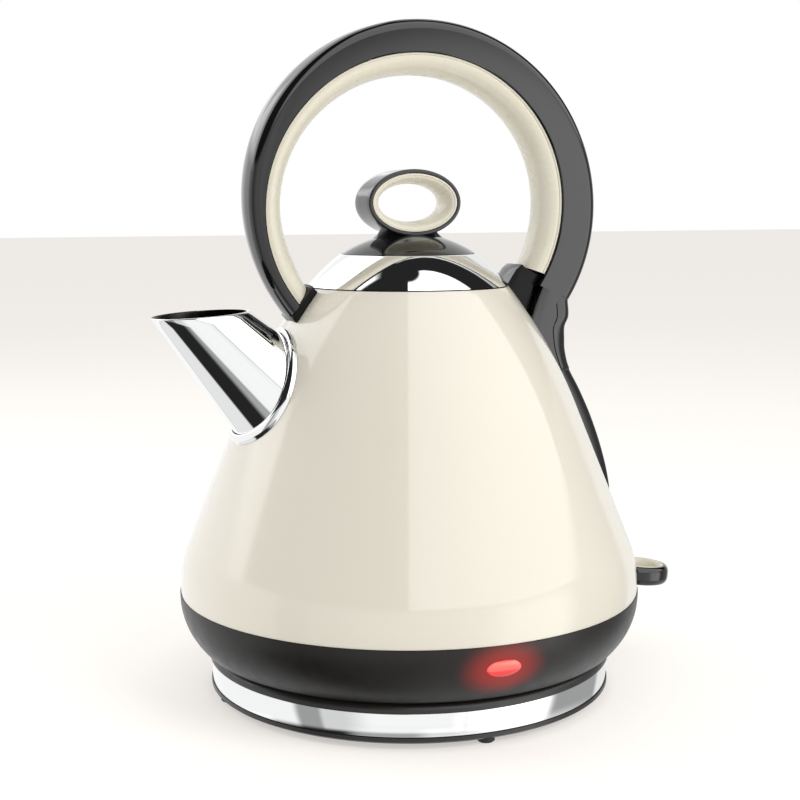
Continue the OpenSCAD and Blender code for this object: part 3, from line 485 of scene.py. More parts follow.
def surface(name, colour, roughness=(0.2, 0.3), vary=0.04, patch=18.0, grain=None, more=()):
    """A procedural surface: colour that drifts by vary over patches, roughness between two values,
    and grain as (scale, strength) of a fine bump. more sets the shader's other sockets."""
    material = bpy.data.materials.new(name)
    material.use_nodes = True
    n = Nodes(material.node_tree)
    where = n.add("ShaderNodeTexCoord").outputs["Object"]
    drift = n.noise(where, patch, 4.0)
    shade = n.ramp(drift, [(0.3, tint(colour, 1 - vary)), (0.7, tint(colour, 1 + vary))])
    rough = n.spread(n.noise(where, patch * 6, 5.0, 0.6), *roughness)
    inputs = {"Base Color": shade, "Roughness": rough}
    if grain:
        fine = n.noise(where, grain[0], 2.0)
        inputs["Normal"] = n.bump(fine, grain[1], 0.0002)
    inputs.update(more)
    shader = n.add("ShaderNodeBsdfPrincipled", inputs)
    n.add("ShaderNodeOutputMaterial", {"Surface": shader.outputs[0]})
    material.diffuse_color = tint(colour, 1)
    return material


def brushed(name, colour, roughness, stretch, strength):
    """Metal with fine brush lines: stretch is the noise scale along X, Y and Z."""
    material = bpy.data.materials.new(name)
    material.use_nodes = True
    n = Nodes(material.node_tree)
    where = n.add("ShaderNodeTexCoord").outputs["Object"]
    lines = n.noise(n.add("ShaderNodeMapping", {"Vector": where, "Scale": stretch}).outputs[0], 1.0, 4.0, 0.7)
    shade = n.ramp(lines, [(0.35, tint(colour, 0.93)), (0.65, tint(colour, 1.05))])
    inputs = {"Base Color": shade, "Metallic": 1.0, "Roughness": n.spread(lines, *roughness),
              "Normal": n.bump(lines, strength, 0.00005)}
    shader = n.add("ShaderNodeBsdfPrincipled", inputs)
    n.add("ShaderNodeOutputMaterial", {"Surface": shader.outputs[0]})
    return material


def skirt_black_with_painted_glow():
    """Satin black plastic with a red glow painted round the lens: emission that stands in for the lamp's
    light falling on the skirt.
    """
    material = surface("skirt_satin_painted_glow", (0.010, 0.009, 0.008), (0.30, 0.40), 0.08, 30.0, (2600.0, 0.12),
                       {"Specular IOR Level": 0.35})
    n = material.node_tree
    shader = next(x for x in n.nodes if x.type == "BSDF_PRINCIPLED")
    add = n.nodes.new
    where = add("ShaderNodeTexCoord")
    move = add("ShaderNodeMapping")
    move.inputs["Location"].default_value = (0, BODY_R * MM, -LENS["z"] * MM)
    stretch = add("ShaderNodeMapping")
    stretch.inputs["Scale"].default_value = (1 / (2.0 * LENS["a"] * MM), 0.0, 1 / (2.6 * LENS["b"] * MM))
    far = add("ShaderNodeVectorMath")
    far.operation = "LENGTH"
    front = add("ShaderNodeSeparateXYZ")
    side = add("ShaderNodeMath")
    side.operation = "LESS_THAN"
    side.inputs[1].default_value = 0.0
    fade = add("ShaderNodeMapRange")
    fade.interpolation_type = "SMOOTHERSTEP"
    fade.inputs["From Min"].default_value = 0.3
    fade.inputs["From Max"].default_value = 1.55
    fade.inputs["To Min"].default_value = 0.34
    fade.inputs["To Max"].default_value = 0.0
    # painted glow: red emission that fades out from the lens, on the front half only
    painted_red_glow = add("ShaderNodeMath")
    painted_red_glow.operation = "MULTIPLY"
    link = n.links.new
    link(where.outputs["Object"], move.inputs["Vector"])
    link(move.outputs[0], stretch.inputs["Vector"])
    link(stretch.outputs[0], far.inputs[0])
    link(far.outputs["Value"], fade.inputs["Value"])
    link(where.outputs["Object"], front.inputs[0])
    link(front.outputs["Y"], side.inputs[0])
    link(fade.outputs[0], painted_red_glow.inputs[0])
    link(side.outputs[0], painted_red_glow.inputs[1])
    link(painted_red_glow.outputs[0], shader.inputs["Emission Strength"])
    shader.inputs["Emission Color"].default_value = (0.9, 0.035, 0.02, 1)
    return material


def lens_red_with_painted_reflection():
    """Lit red lamp plastic, with a painted reflection of the light as its paler upper half; darker towards
    the lower edge.
    """
    material = bpy.data.materials.new("red_lens")
    material.use_nodes = True
    n = Nodes(material.node_tree)
    where = n.add("ShaderNodeTexCoord").outputs["Object"]
    height = n.add("ShaderNodeSeparateXYZ", {0: where}).outputs["Z"]
    wobble = n.maths("MULTIPLY", n.noise(where, 300.0), 0.0003)
    level = n.maths("ADD", height, wobble)
    share = n.add("ShaderNodeMapRange", {"Value": level, "From Min": (LENS["z"] - LENS["b"]) * MM,
                                         "From Max": (LENS["z"] + LENS["b"]) * MM}).outputs[0]
    # painted reflection: the colour turns paler above the middle, where the light's reflection falls
    colour = n.ramp(share, [
        (0.0, (0.5, 0.004, 0.004)), (0.2, (0.80, 0.008, 0.008)), (0.40, (0.86, 0.012, 0.012)),
        (0.44, (0.93, 0.12, 0.09)), (0.9, (0.95, 0.23, 0.17)), (1.0, (0.62, 0.03, 0.03))])
    strength = n.ramp(share, [
        (0.0, (0.35,) * 3), (0.4, (0.8,) * 3), (0.46, (0.95,) * 3), (1.0, (0.9,) * 3)])
    shader = n.add("ShaderNodeBsdfPrincipled", {
        "Base Color": (0.35, 0.01, 0.01, 1), "Roughness": 0.12, "Emission Color": colour,
        "Emission Strength": strength, "Coat Weight": 0.6, "Coat Roughness": 0.03})
    n.add("ShaderNodeOutputMaterial", {"Surface": shader.outputs[0]})
    return material


CREAM = (0.755, 0.72, 0.625)
M = {
    "cream_enamel": surface("cream_enamel", CREAM, (0.30, 0.36), 0.008, 6.0, (900.0, 0.012),
                            {"Coat Weight": 1.0, "Coat Roughness": 0.02, "Coat IOR": 1.5,
                             "Specular IOR Level": 0.3}),
    "cream_plastic": surface("cream_plastic", (0.69, 0.66, 0.55), (0.24, 0.32), 0.012, 20.0, (1500.0, 0.02),
                             {"Coat Weight": 0.25, "Coat Roughness": 0.08}),
    "black_gloss": surface("black_gloss", (0.005, 0.005, 0.005), (0.045, 0.09), 0.2, 25.0, (1200.0, 0.015),
                           {"Coat Weight": 0.25, "Coat Roughness": 0.03}),
    "black_satin": surface("black_satin", (0.016, 0.015, 0.014), (0.30, 0.42), 0.1, 30.0, (2600.0, 0.15),
                           {"Specular IOR Level": 0.5}),
    # painted shade: a darker copy of the black plastic with weak reflections, so the handle's end blocks read
    # as in shade
    "black_dimmed_for_shade": surface("black_dimmed_for_shade", (0.004, 0.004, 0.004), (0.18, 0.28), 0.2, 60.0, (2600.0, 0.1),
                           {"Specular IOR Level": 0.12}),
    # painted shade: near-black metal for the spout's inside, standing in for the shade in its hollow
    "spout_inside_painted_shade": surface("spout_inside_painted_shade", (0.05, 0.048, 0.045), (0.35, 0.5), 0.1, 60.0, (900.0, 0.1),
                            {"Metallic": 1.0}),
    "skirt_satin_painted_glow": skirt_black_with_painted_glow(),
    "chrome": surface("chrome", (0.86, 0.865, 0.87), (0.015, 0.04), 0.01, 14.0, (400.0, 0.004),
                      {"Metallic": 1.0}),
    "stainless": brushed("stainless", (0.62, 0.61, 0.59), (0.22, 0.34), (30.0, 30.0, 2600.0), 0.06),
    "screw_steel": surface("screw_steel", (0.55, 0.55, 0.54), (0.25, 0.4), 0.08, 200.0, (3000.0, 0.1),
                           {"Metallic": 1.0}),
    "aluminium": surface("aluminium", (0.72, 0.73, 0.74), (0.35, 0.5), 0.05, 60.0, (1800.0, 0.12),
                         {"Metallic": 1.0}),
    "brass": surface("brass", (0.72, 0.50, 0.20), (0.2, 0.35), 0.08, 90.0, (1500.0, 0.06), {"Metallic": 1.0}),
    "rubber_black": surface("rubber_black", (0.02, 0.02, 0.02), (0.65, 0.8), 0.15, 120.0, (2500.0, 0.3)),
    "silicone_grey": surface("silicone_grey", (0.42, 0.41, 0.39), (0.45, 0.6), 0.05, 60.0, (2000.0, 0.1),
                             {"Subsurface Weight": 0.1, "Subsurface Scale": 0.002}),
    "red_lens": lens_red_with_painted_reflection(),
    "lamp_glass": surface("lamp_glass", (0.85, 0.80, 0.74), (0.05, 0.1), 0.03, 60.0, None,
                          {"Transmission Weight": 0.5}),
    "inner_plastic": surface("inner_plastic", (0.68, 0.66, 0.60), (0.4, 0.55), 0.04, 50.0, (1800.0, 0.12)),
    "dark_inner_plastic": surface("dark_inner_plastic", (0.030, 0.029, 0.027), (0.42, 0.55), 0.12, 40.0,
                                  (2200.0, 0.2)),
    "element_sheath": surface("element_sheath", (0.30, 0.28, 0.25), (0.35, 0.55), 0.2, 60.0, (900.0, 0.2),
                              {"Metallic": 0.9}),
}

# ---------------------------------------------------------------- kettle body


spout_root = Vector((-body_r_at(SPOUT_Z) - SPOUT_OUT, 0, SPOUT_Z))
spout_axis = Vector((-cos(radians(SPOUT_PITCH)), 0, sin(radians(SPOUT_PITCH))))
spout_across = Vector((-spout_axis.z, 0, spout_axis.x))


def spout_line(q, off, d):
    """Point on the spout's cone, off outside it: q round the axis, d along it from the root."""
    r = SPOUT_R + off - d * tan(radians(SPOUT_TAPER))
    return spout_root + spout_axis * d + spout_across * (r * cos(q)) + Vector((0, r * SPOUT_WIDE * sin(q), 0))


def solve(test, low, high):
    """Where test turns from negative to positive between low and high."""
    for _ in range(40):
        mid = (low + high) / 2
        if test(mid) > 0:
            high = mid
        else:
            low = mid
    return (low + high) / 2


def spout_at_wall(q, off, lift):
    """Distance along the cone at which it stands lift off the body."""
    return solve(lambda d: wall_gap(spout_line(q, off, d)) - lift, -18, 34)


def spout_at_mouth(q, off, drop):
    """Distance along the cone at which it reaches drop under the mouth's plane."""
    centre = spout_root + spout_axis * SPOUT_LEN
    up = Vector((-sin(radians(LIP_TILT)), 0, cos(radians(LIP_TILT))))
    return solve(lambda d: (spout_line(q, off, d) - centre).dot(up) + drop, 0, 64)


def add_spout():
    """Chrome cone with a turned lip, open at both ends."""
    rings = []
    for i in range(SPOUT_ROUND):
        q = 2 * pi * i / SPOUT_ROUND
        low_out, low_in = spout_at_wall(q, 0, FIT), spout_at_wall(q, -SPOUT_WALL, FIT)
        top_out, top_in = spout_at_mouth(q, 0, 0.5), spout_at_mouth(q, -SPOUT_WALL, 0.5)
        steps = 14
        outer = [spout_line(q, 0, low_out + (top_out - low_out) * k / steps) for k in range(steps + 1)]
        lip = []
        for k in range(1, 6):
            t = pi * k / 6
            off = -SPOUT_WALL * (1 - cos(t)) / 2
            lip.append(spout_line(q, off, spout_at_mouth(q, off, 0.5 * (1 - sin(t)))))
        inner = [spout_line(q, -SPOUT_WALL, top_in + (low_in - top_in) * k / steps) for k in range(steps + 1)]
        rings.append(outer + lip + inner)
    obj = new_object("chrome_spout", sweep(rings, True), 50)
    finish_piece(obj, "kettle", ["spout"], [M["chrome"], M["spout_inside_painted_shade"]])
    # faces turned into the spout get the painted shade
    for face in obj.data.polygons:
        away = face.center / MM - spout_root
        out = away - spout_axis * away.dot(spout_axis)
        face.material_index = 1 if face.normal.dot(out) < -1 else 0


def add_spout_collar():
    """Half-round chrome bead that hides the joint between spout and body."""
    rings = []
    for i in range(SPOUT_ROUND):
        q = 2 * pi * i / SPOUT_ROUND
        section = [(RIM_W, FIT), (RIM_W - 0.05, 0.55)]
        middle, half = (RIM_W + 0.2) / 2, (RIM_W - 0.2) / 2
        section += [(middle + half * cos(radians(a)), 0.9 + (RIM_T - 0.9) * sin(radians(a)))
                    for a in range(0, 181, 15)]
        section += [(FIT + 0.05, 0.55), (FIT, FIT)]
        rings.append([spout_line(q, off, spout_at_wall(q, off, lift)) for off, lift in section])
    obj = new_object("spout_bead", sweep(rings, True), 60)
    finish_piece(obj, "kettle", ["spout_collar"], [M["chrome"]])


def spout_plug():
    """The spout's inside as a solid, long enough to cut the body's wall."""
    turns = [2 * pi * i / SPOUT_ROUND for i in range(SPOUT_ROUND)]
    return sweep([[spout_line(q, -SPOUT_WALL, d) for q in turns] for d in (-22, 64)])


def add_body():
    """Enamelled steel shell: painted outside, bare steel inside."""
    outer = body_outline(0, 2)
    inner = body_outline(-WALL, 2)
    lip = [outer[-1] + Vector((-0.12, 0.12)), inner[-1] + Vector((0.12, 0.12))]
    obj = new_object("enamelled_body", lathe(outer + lip + inner[::-1], 256), 40)
    combine(obj, spout_plug(), "DIFFERENCE", 40)
    finish_piece(obj, "kettle", ["body_shell"], [M["cream_enamel"], M["stainless"]])
    for face in obj.data.polygons:
        c = face.center / MM
        face.material_index = 1 if wall_gap(c) < -WALL * 0.6 and c.z < NECK_Z - 0.2 else 0


def add_skirt():
    """Black skirt with its lens hole and the lever's slot."""
    outer = [Vector((SKIRT_R, SEAM_Z - FIT)), Vector((SKIRT_R, SEAM_Z - 0.8))]
    outer += arc(skirt_c, SKIRT_ROUND, 0, skirt_end, 36)
    inner_round, drop = SKIRT_ROUND - SKIRT_WALL, skirt_arc_z - SKIRT_Z - FLANGE
    flange = skirt_c.x + sqrt(inner_round ** 2 - drop ** 2)
    inner_end = -degrees(asin(drop / inner_round))
    outer[-1] += Vector((-0.25, 0.0))
    inner = [Vector((flange + FIT, SKIRT_Z)), Vector((flange + FIT, SKIRT_Z + FLANGE))]
    inner += arc(skirt_c, inner_round, inner_end, 0, 20)
    inner += [Vector((SKIRT_R - SKIRT_WALL, SEAM_Z - FIT))]
    obj = new_object("black_skirt", lathe(outer + inner, 256), 40)
    slot = rounded([(BODY_R - 14, PIVOT.y - 5), (BODY_R + 40, PIVOT.y - 5), (BODY_R + 40, PIVOT.y + 5.2),
                    (BODY_R - 14, PIVOT.y + 5.2)], 0.8)
    combine(obj, slab(slot, SLOT_W, 0.4), "DIFFERENCE", 40)
    a, b = LENS["a"] + FIT, LENS["b"] + FIT
    hole = [[(p.x, y, LENS["z"] + p.y) for p in ellipse(a, b, 64)] for y in (-BODY_R - 6, -BODY_R + 9)]
    combine(obj, sweep(hole), "DIFFERENCE", 40)
    finish_piece(obj, "kettle", ["base_skirt"], [M["skirt_satin_painted_glow"]])


def add_lens():
    """Oval lens that follows the skirt and stands a little proud, its edge rounded."""
    n, rings = 64, []

    def point(share, q, off):
        x, z = LENS["a"] * share * cos(q), LENS["z"] + LENS["b"] * share * sin(q)
        r = skirt_r_at(z, off)
        return (x, -sqrt(r * r - x * x), z)

    for share, off in ((1, -SKIRT_WALL), (1, 0.0), (0.985, 0.28), (0.95, 0.46), (0.88, 0.58), (0.7, 0.74),
                       (0.45, 0.84), (0.2, 0.88), (0.05, 0.89)):
        rings.append([point(share, 2 * pi * i / n, off) for i in range(n)])
    obj = new_object("lamp_lens", sweep(rings), 40)
    finish_piece(obj, "kettle", ["indicator_lens"], [M["red_lens"]])


# ---------------------------------------------------------------- handle


def placed(section, p, e):
    return [(p.x + s * e.x, y, p.y + s * e.y) for s, y in section]


def quarter(s, y, rs, ry, a0, a1, n=7):
    return [(s + rs * cos(radians(a0 + (a1 - a0) * k / n)), y + ry * sin(radians(a0 + (a1 - a0) * k / n)))
            for k in range(n + 1)]


def back_section(th, w):
    """U-shaped section of the grip's back: flat sides, rounded corners, hollow on the lining's side."""
    rc = min(GRIP_ROUND, th - 1.2)
    soft = 0.35
    crown = 0.5
    outside = [(soft, -w)] + quarter(th - rc, -w + rc, rc, rc, -90, 0)
    flat = w - rc
    outside += [(th + crown * (1 - (y / flat) ** 2), y) for y in (-flat * 0.5, 0, flat * 0.5)]
    outside += quarter(th - rc, flat, rc, rc, 0, 90) + [(soft, w), (0, w - soft)]
    deep, side = th - GRIP_WALL, w - GRIP_WALL
    inside = [(0, side), (deep - 2, side), (deep, side - 2), (deep, -side + 2), (deep - 2, -side), (0, -side)]
    return outside + inside + [(0, -w + soft)]


def liner_section(w):
    """Rounded lining with a thin bead along each edge."""
    bead, groove = 0.95, 0.3
    foot = bead + 0.25
    body = [(-FIT - foot - (LINER_CROWN - foot) * sin(radians(q)), (w - groove) * cos(radians(q)))
            for q in range(0, 181, 9)]
    edge = [(-FIT, w - 0.2), (-FIT - 0.15, w), (-FIT - bead + 0.15, w), (-FIT - bead, w - 0.15),
            (-FIT - bead - 0.05, w - groove - 0.1)]
    outside = edge + body + [(s, -y) for s, y in reversed(edge)]
    inner_w, inner_crown = w - 2, LINER_CROWN - 2
    inside = [(-FIT - inner_crown * sin(radians(q)), -inner_w * cos(radians(q))) for q in range(0, 181, 15)]
    return outside + inside


def ring_stations(start, count, less, kind):
    """Sections round the ring from the angle start to its front end."""
    return [ring_station(start + (RING_FRONT - start) * i / count, less, kind) for i in range(count + 1)]


def ring_station(a, less, kind):
    p = ring_inner(a)
    d = ring_outer(a) - p
    w = ring_w(a) - less
    return placed(back_section(d.length, w) if kind == "back" else liner_section(w), p, d.normalized())


def web_outline():
    """Outline of the flat part between the ring's rear end, the tail and the body."""
    top = RING_REAR + 6
    points = [ring_inner(top) + Vector((0.9, -0.2)), ring_outer(top) + Vector((-2.9, 1.9))]
    steps = 14
    for i in range(steps + 1):
        z = TAIL_TOP - (TAIL_TOP - WEB_LOW) * i / steps
        points.append(Vector((tail_front(z) - FIT, z)))
    points += [Vector((body_r_at(WEB_LOW) - 3, WEB_LOW)), Vector((body_r_at(NECK_Z - 17) - 3, NECK_Z - 20)),
               ring_inner(RING_REAR) + Vector((-1.9, -8.5))]
    return points


def add_grip():
    """Black shell of the handle: the ring's back and the web down to the body."""
    obj = new_object("grip_back", sweep(ring_stations(RING_REAR, 150, 0, "back")), 40)
    combine(obj, body_solid(LAND + FIT), "DIFFERENCE", 40)
    web = new_object("web", slab(web_outline(), GRIP_W - 0.03, 0.3), 40)
    combine(web, body_solid(FIT), "DIFFERENCE", 40)
    join(obj, web)
    finish_piece(obj, "kettle", ["handle_frame"], [M["black_gloss"]])


def join(obj, other):
    """Adds another object's mesh to obj's."""
    work = bmesh.new()
    work.from_mesh(obj.data)
    work.from_mesh(other.data)
    work.to_mesh(obj.data)
    work.free()
    bpy.data.objects.remove(other)
    smooth(obj.data, 40)


def add_lining():
    """Cream lining of the ring, rounded towards the hand."""
    obj = new_object("grip_lining", sweep(ring_stations(LINER_REAR, 144, 1, "liner")), 38)
    combine(obj, body_solid(LAND + FIT), "DIFFERENCE", 38)
    finish_piece(obj, "kettle", ["handle_liner"], [M["cream_plastic"]])


def add_toe():
    """Black end piece between the ring's front and the body."""
    outer = [ring_outer(a) for a in range(TOE_FROM, RING_FRONT + 1, 2)]
    inner = []
    for a in range(RING_FRONT, TOE_FROM - 1, -2):
        p = ring_inner(a)
        inner.append(p + (RING_C - p).normalized() * (LINER_CROWN + 0.4))
    obj = new_object("grip_toe", slab(outer + inner, TOE_W, 1.2, 4), 40)
    combine(obj, body_solid(LAND), "INTERSECT", 40)
    combine(obj, body_solid(FIT), "DIFFERENCE", 40)
    # the toe takes the dimmed black that stands in for shade
    finish_piece(obj, "kettle", ["handle_front_foot"], [M["black_dimmed_for_shade"]])


def add_rear_block():
    """Block that carries the ring's rear end, with a raised panel towards the lid."""
    seat, end = ring_inner(LINER_REAR), ring_inner(RING_REAR)
    crest = seat + (RING_C - seat).normalized() * (LINER_CROWN + 0.3)
    block = [seat + Vector((0.4, -1.2)), crest + Vector((0.2, -1.4)),
             crest + Vector((-1.6, 0.4)), crest + Vector((-4.4, -2.0)),
             Vector((body_r_at(NECK_Z - 1.6) - 3, NECK_Z - 3)),
             Vector((body_r_at(NECK_Z - 13) - 4, NECK_Z - 13)),
             end + Vector((-3.2, -10.6)), end + Vector((-0.9, 0.6))]
    obj = new_object("grip_block", slab(rounded(block, 0.8, 4), BLOCK_W, 0.5), 30)
    combine(obj, body_solid(FIT), "DIFFERENCE", 30)
    finish_piece(obj, "kettle", ["handle_rear_block"], [M["black_dimmed_for_shade"], M["black_gloss"]])
    # faces turned towards the lid keep the glossy black; the rest take the dimmed black that stands in for
    # shade
    for face in obj.data.polygons:
        face.material_index = 1 if face.normal.x < -0.4 else 0


def tail_shape(depth, w, corner, lean_share):
    """Half-open section of the tail, from its front edge round the back: (backwards, y) points.
    The sides lean in towards the back, which is a shallow crown."""
    lean = lean_share * depth
    side = w - lean
    points = [(0, -w + 0.3), (0.3, -w), (0.5 * depth, -w + 0.42 * lean)]
    points += quarter(depth - corner, -side + corner, corner, corner, -72, 0, 8)
    flat = side - corner
    points += [(depth + 0.3 * (1 - (y / flat) ** 2), y) for y in (-flat / 2, 0, flat / 2)]
    points += quarter(depth - corner, flat, corner, corner, 0, 72, 8)
    return points + [(0.5 * depth, w - 0.42 * lean), (0.3, w), (0, w - 0.3)]


def tail_section(z):
    """Level section of the tail at height z."""
    x1 = tail_back(z)
    x0 = tail_front(z) if z > WEB_LOW else min(tail_front(z), body_r_at(z) - 2)
    w = TAIL_W - 3 * ease((WEB_LOW - z) / 60)
    down = ease((TAIL_TOP - z) / 16)
    corner = min(GRIP_ROUND - (GRIP_ROUND - TAIL_ROUND) * down, max(0.5, 0.8 * (x1 - body_r_at(z))))
    return [(x0 + s, y, z) for s, y in tail_shape(x1 - x0, w, corner, 0.22 * down)]


def tail_turned(share):
    """Section between the tail's level top and the ring's rear end, turned a little more each time."""
    low = Vector((tail_back(TAIL_TOP), TAIL_TOP))
    high = ring_end + (ring_outer(RING_REAR - 2) - ring_end).normalized() * 0.25
    inwards = (ring_inner(RING_REAR) - ring_end).normalized()
    back = Vector((-1, 0)).lerp(inwards, share).normalized()
    edge = low.lerp(high, share)
    depth = tail_back(TAIL_TOP) - tail_front(TAIL_TOP)
    w = TAIL_W + share * (ring_w(RING_REAR) - TAIL_W)
    return [(edge.x + back.x * (depth - s), y, edge.y + back.y * (depth - s))
            for s, y in tail_shape(depth, w, GRIP_ROUND, 0)]


def add_tail():
    """Cover that runs from the ring's rear end down the back of the body."""
    count = 90
    low = NECK_Z - TAIL_KEYS[-1][0]
    rings = [tail_section(low + (TAIL_TOP - low) * i / count) for i in range(count + 1)]
    rings += [tail_turned((i + 1) / 8) for i in range(8)]
    obj = new_object("tail_cover", sweep(rings), 40)
    combine(obj, body_solid(FIT), "DIFFERENCE", 40)
    finish_piece(obj, "kettle", ["handle_tail"], [M["black_gloss"]])


# ---------------------------------------------------------------- lid


def add_dome():
    """Chrome dome, open under the cap."""
    low, high = (DOME_R, dome_low.z), (CAP_R, CAP_Z)
    outer = bulge(low, high, DOME_CURVE, 0, 36)
    inner = bulge(low, high, DOME_CURVE, DOME_WALL, 36)
    edge = [outer[-1] + Vector((-0.35, 0.1))]
    profile = [outer[0] + Vector((-0.15, 0))] + outer + edge + inner[::-1]
    profile = [p if p.y > dome_low.z else Vector((p.x, dome_low.z)) for p in profile]
    obj = new_object("chrome_dome", lathe(profile, 256), 40)
    finish_piece(obj, "lid", ["lid_dome"], [M["chrome"]])


def add_cap():
    """Black cap with the low pedestal that the knob stands on."""
    height = CAP_TOP - CAP_Z
    curve = (CAP_R ** 2 + height ** 2) / (2 * height)
    c = (0, CAP_TOP - curve)
    rise = CAP_Z + 0.25 - c[1]
    edge, inner = degrees(asin(rise / curve)), degrees(asin(rise / (curve - CAP_WALL)))
    top = [Vector((max(p.x, 0.0), p.y)) for p in arc(c, curve, edge, 90, 28)]
    under = [Vector((max(p.x, 0.0), p.y)) for p in arc(c, curve - CAP_WALL, inner, 90, 16)]
    top[-1].x = under[-1].x = 0.0
    rim = [top[0] + Vector((-0.3, -0.15)), under[0]]
    obj = new_object("gloss_cap", lathe(rim[:1] + top + under[::-1], 256), 40)
    rings = []
    for k in range(13):
        t = k / 12
        z = CAP_TOP - 3.0 + 6.0 * t
        flare = 1.4 * (1 - sin(pi * min(t * 1.15, 1) / 2)) if t < 0.87 else 0.0
        a, b = PEDESTAL_A + 3.2 * flare, KNOB_W - PEDESTAL_IN + 1.6 * flare
        rings.append([(a * abs(cos(q)) ** PEDESTAL_SQUARE * (1 if cos(q) > 0 else -1),
                       b * abs(sin(q)) ** PEDESTAL_SQUARE * (1 if sin(q) > 0 else -1), z)
                      for q in (2 * pi * i / 72 for i in range(72))])
    pedestal = new_object("pedestal", sweep(rings), 40)
    knob = [[(p.x, y, KNOB_Z + p.y) for p in ellipse(KNOB_A + 0.05, KNOB_B + 0.05, 128)]
            for y in (-30, 30)]
    combine(pedestal, sweep(knob), "DIFFERENCE", 40)
    ball = lathe([Vector((max(p.x, 0.0), p.y)) for p in arc(c, curve - 0.9, -60, 90, 40)], 128)
    combine(pedestal, ball, "DIFFERENCE", 40)
    join(obj, pedestal)
    finish_piece(obj, "lid", ["lid_cap"], [M["black_gloss"]])


def loop_sweep(a, b, centre, section, count=128):
    """Sweeps a (outwards, y) section round an upright ellipse."""
    rings = []
    for i in range(count):
        t = 2 * pi * i / count
        e = Vector((b * cos(t), a * sin(t))).normalized()
        rings.append(placed(section, Vector((centre.x + a * cos(t), centre.y + b * sin(t))), e))
    return sweep(rings, True)


def add_knob():
    """Upright oval loop: black rim and cream lining."""
    w, t = KNOB_W, KNOB_RIM
    corner = 0.75
    section = quarter(-corner, w - corner, corner, corner, 0, 90, 5)
    section += quarter(-t + 0.3, w - 0.3, 0.3, 0.3, 90, 180, 3)
    section += [(s, -y) for s, y in reversed(section)]
    swell = [(0.0, y) for y in (-w * 0.5, 0, w * 0.5)]
    obj = new_object("knob_rim", loop_sweep(KNOB_A, KNOB_B, Vector((0, KNOB_Z)), section + swell), 40)
    finish_piece(obj, "lid", ["lid_knob"], [M["black_gloss"]])
    a, b, w = KNOB_A - KNOB_RIM - FIT, KNOB_B - KNOB_RIM - FIT, KNOB_W - 0.1
    bead = [(0, w - 0.25), (-0.1, w), (-0.75, w), (-KNOB_BEAD, w - 0.3)]
    lining = bead + [(-KNOB_BEAD - (KNOB_CROWN - KNOB_BEAD) * sin(radians(q)), (w - 0.3) * cos(radians(q)))
                     for q in range(9, 172, 9)] + [(s, -y) for s, y in reversed(bead)]
    obj = new_object("knob_lining", loop_sweep(a, b, Vector((0, KNOB_Z)), lining), 40)
    finish_piece(obj, "lid", ["lid_knob_liner"], [M["cream_plastic"]])


# ---------------------------------------------------------------- power base


def add_base():
    """Rounded black shoulder with the well that the kettle stands in."""
    r, z0, z1 = top_high.x, band_high.z + 0.1, top_high.z
    profile = [Vector((band_high.x - 1.4, z0)), Vector((r - 0.3, z0)), Vector((r, z0 + 0.3))]
    profile += arc((r - BASE_ROUND, z1 - BASE_ROUND), BASE_ROUND, 0, 90, 16)
    profile += arc((WELL_R + 1, z1 - 1), 1, 90, 180, 8)
    profile += [Vector((WELL_R, WELL_Z + 0.8)), Vector((WELL_R - 0.8, WELL_Z)), Vector((15.4, WELL_Z)),
                Vector((WELL_HOLE, WELL_Z - 0.6)), Vector((WELL_HOLE, WELL_Z - 2)),
                Vector((WELL_R + 2, WELL_Z - 2)), Vector((WELL_R + 2, z1 - 2.2)),
                Vector((band_high.x - 1.4, z1 - 2.2))]
    obj = new_object("base_shoulder", lathe(profile, 256), 30)
    finish_piece(obj, "power_base", ["base_top"], [M["black_satin"]])


def add_band():
    """Chrome band with softened edges and the cord's hole at the back."""
    low, high, r = band_low.z, band_high.z, band_high.x
    outline = rounded([(r - 1.2, low), (r, low), (r, high), (r - 1.2, high)], 0.25, 3)
    obj = new_object("chrome_band", lathe(outline, 256), 50)
    centre = (low + high) / 2
    hole = [[(p.x, y, centre + p.y) for p in ellipse(CORD_HOLE_R, CORD_HOLE_R, 64)]
            for y in (r - 12, r + 12)]
    combine(obj, sweep(hole), "DIFFERENCE", 50)
    finish_piece(obj, "power_base", ["base_trim_ring"], [M["chrome"]])


# ---------------------------------------------------------------- switch


def tilted(data):
    """Level shape moved to the lever's loop and tilted with it."""
    turn = Matrix.Rotation(radians(LOOP_TILT), 4, "Y")
    return [turn @ v + Vector((LOOP_C.x, 0, LOOP_C.y)) for v in data[0]], data[1]


def flat_loop(a, b, section, count=112):
    """Sweeps an (outwards, up) section round a level ellipse."""
    rings = []
    for i in range(count):
        t = 2 * pi * i / count
        e = Vector((b * cos(t), a * sin(t))).normalized()
        rings.append([(a * cos(t) + s * e.x, b * sin(t) + s * e.y, z) for s, z in section])
    return sweep(rings, True)


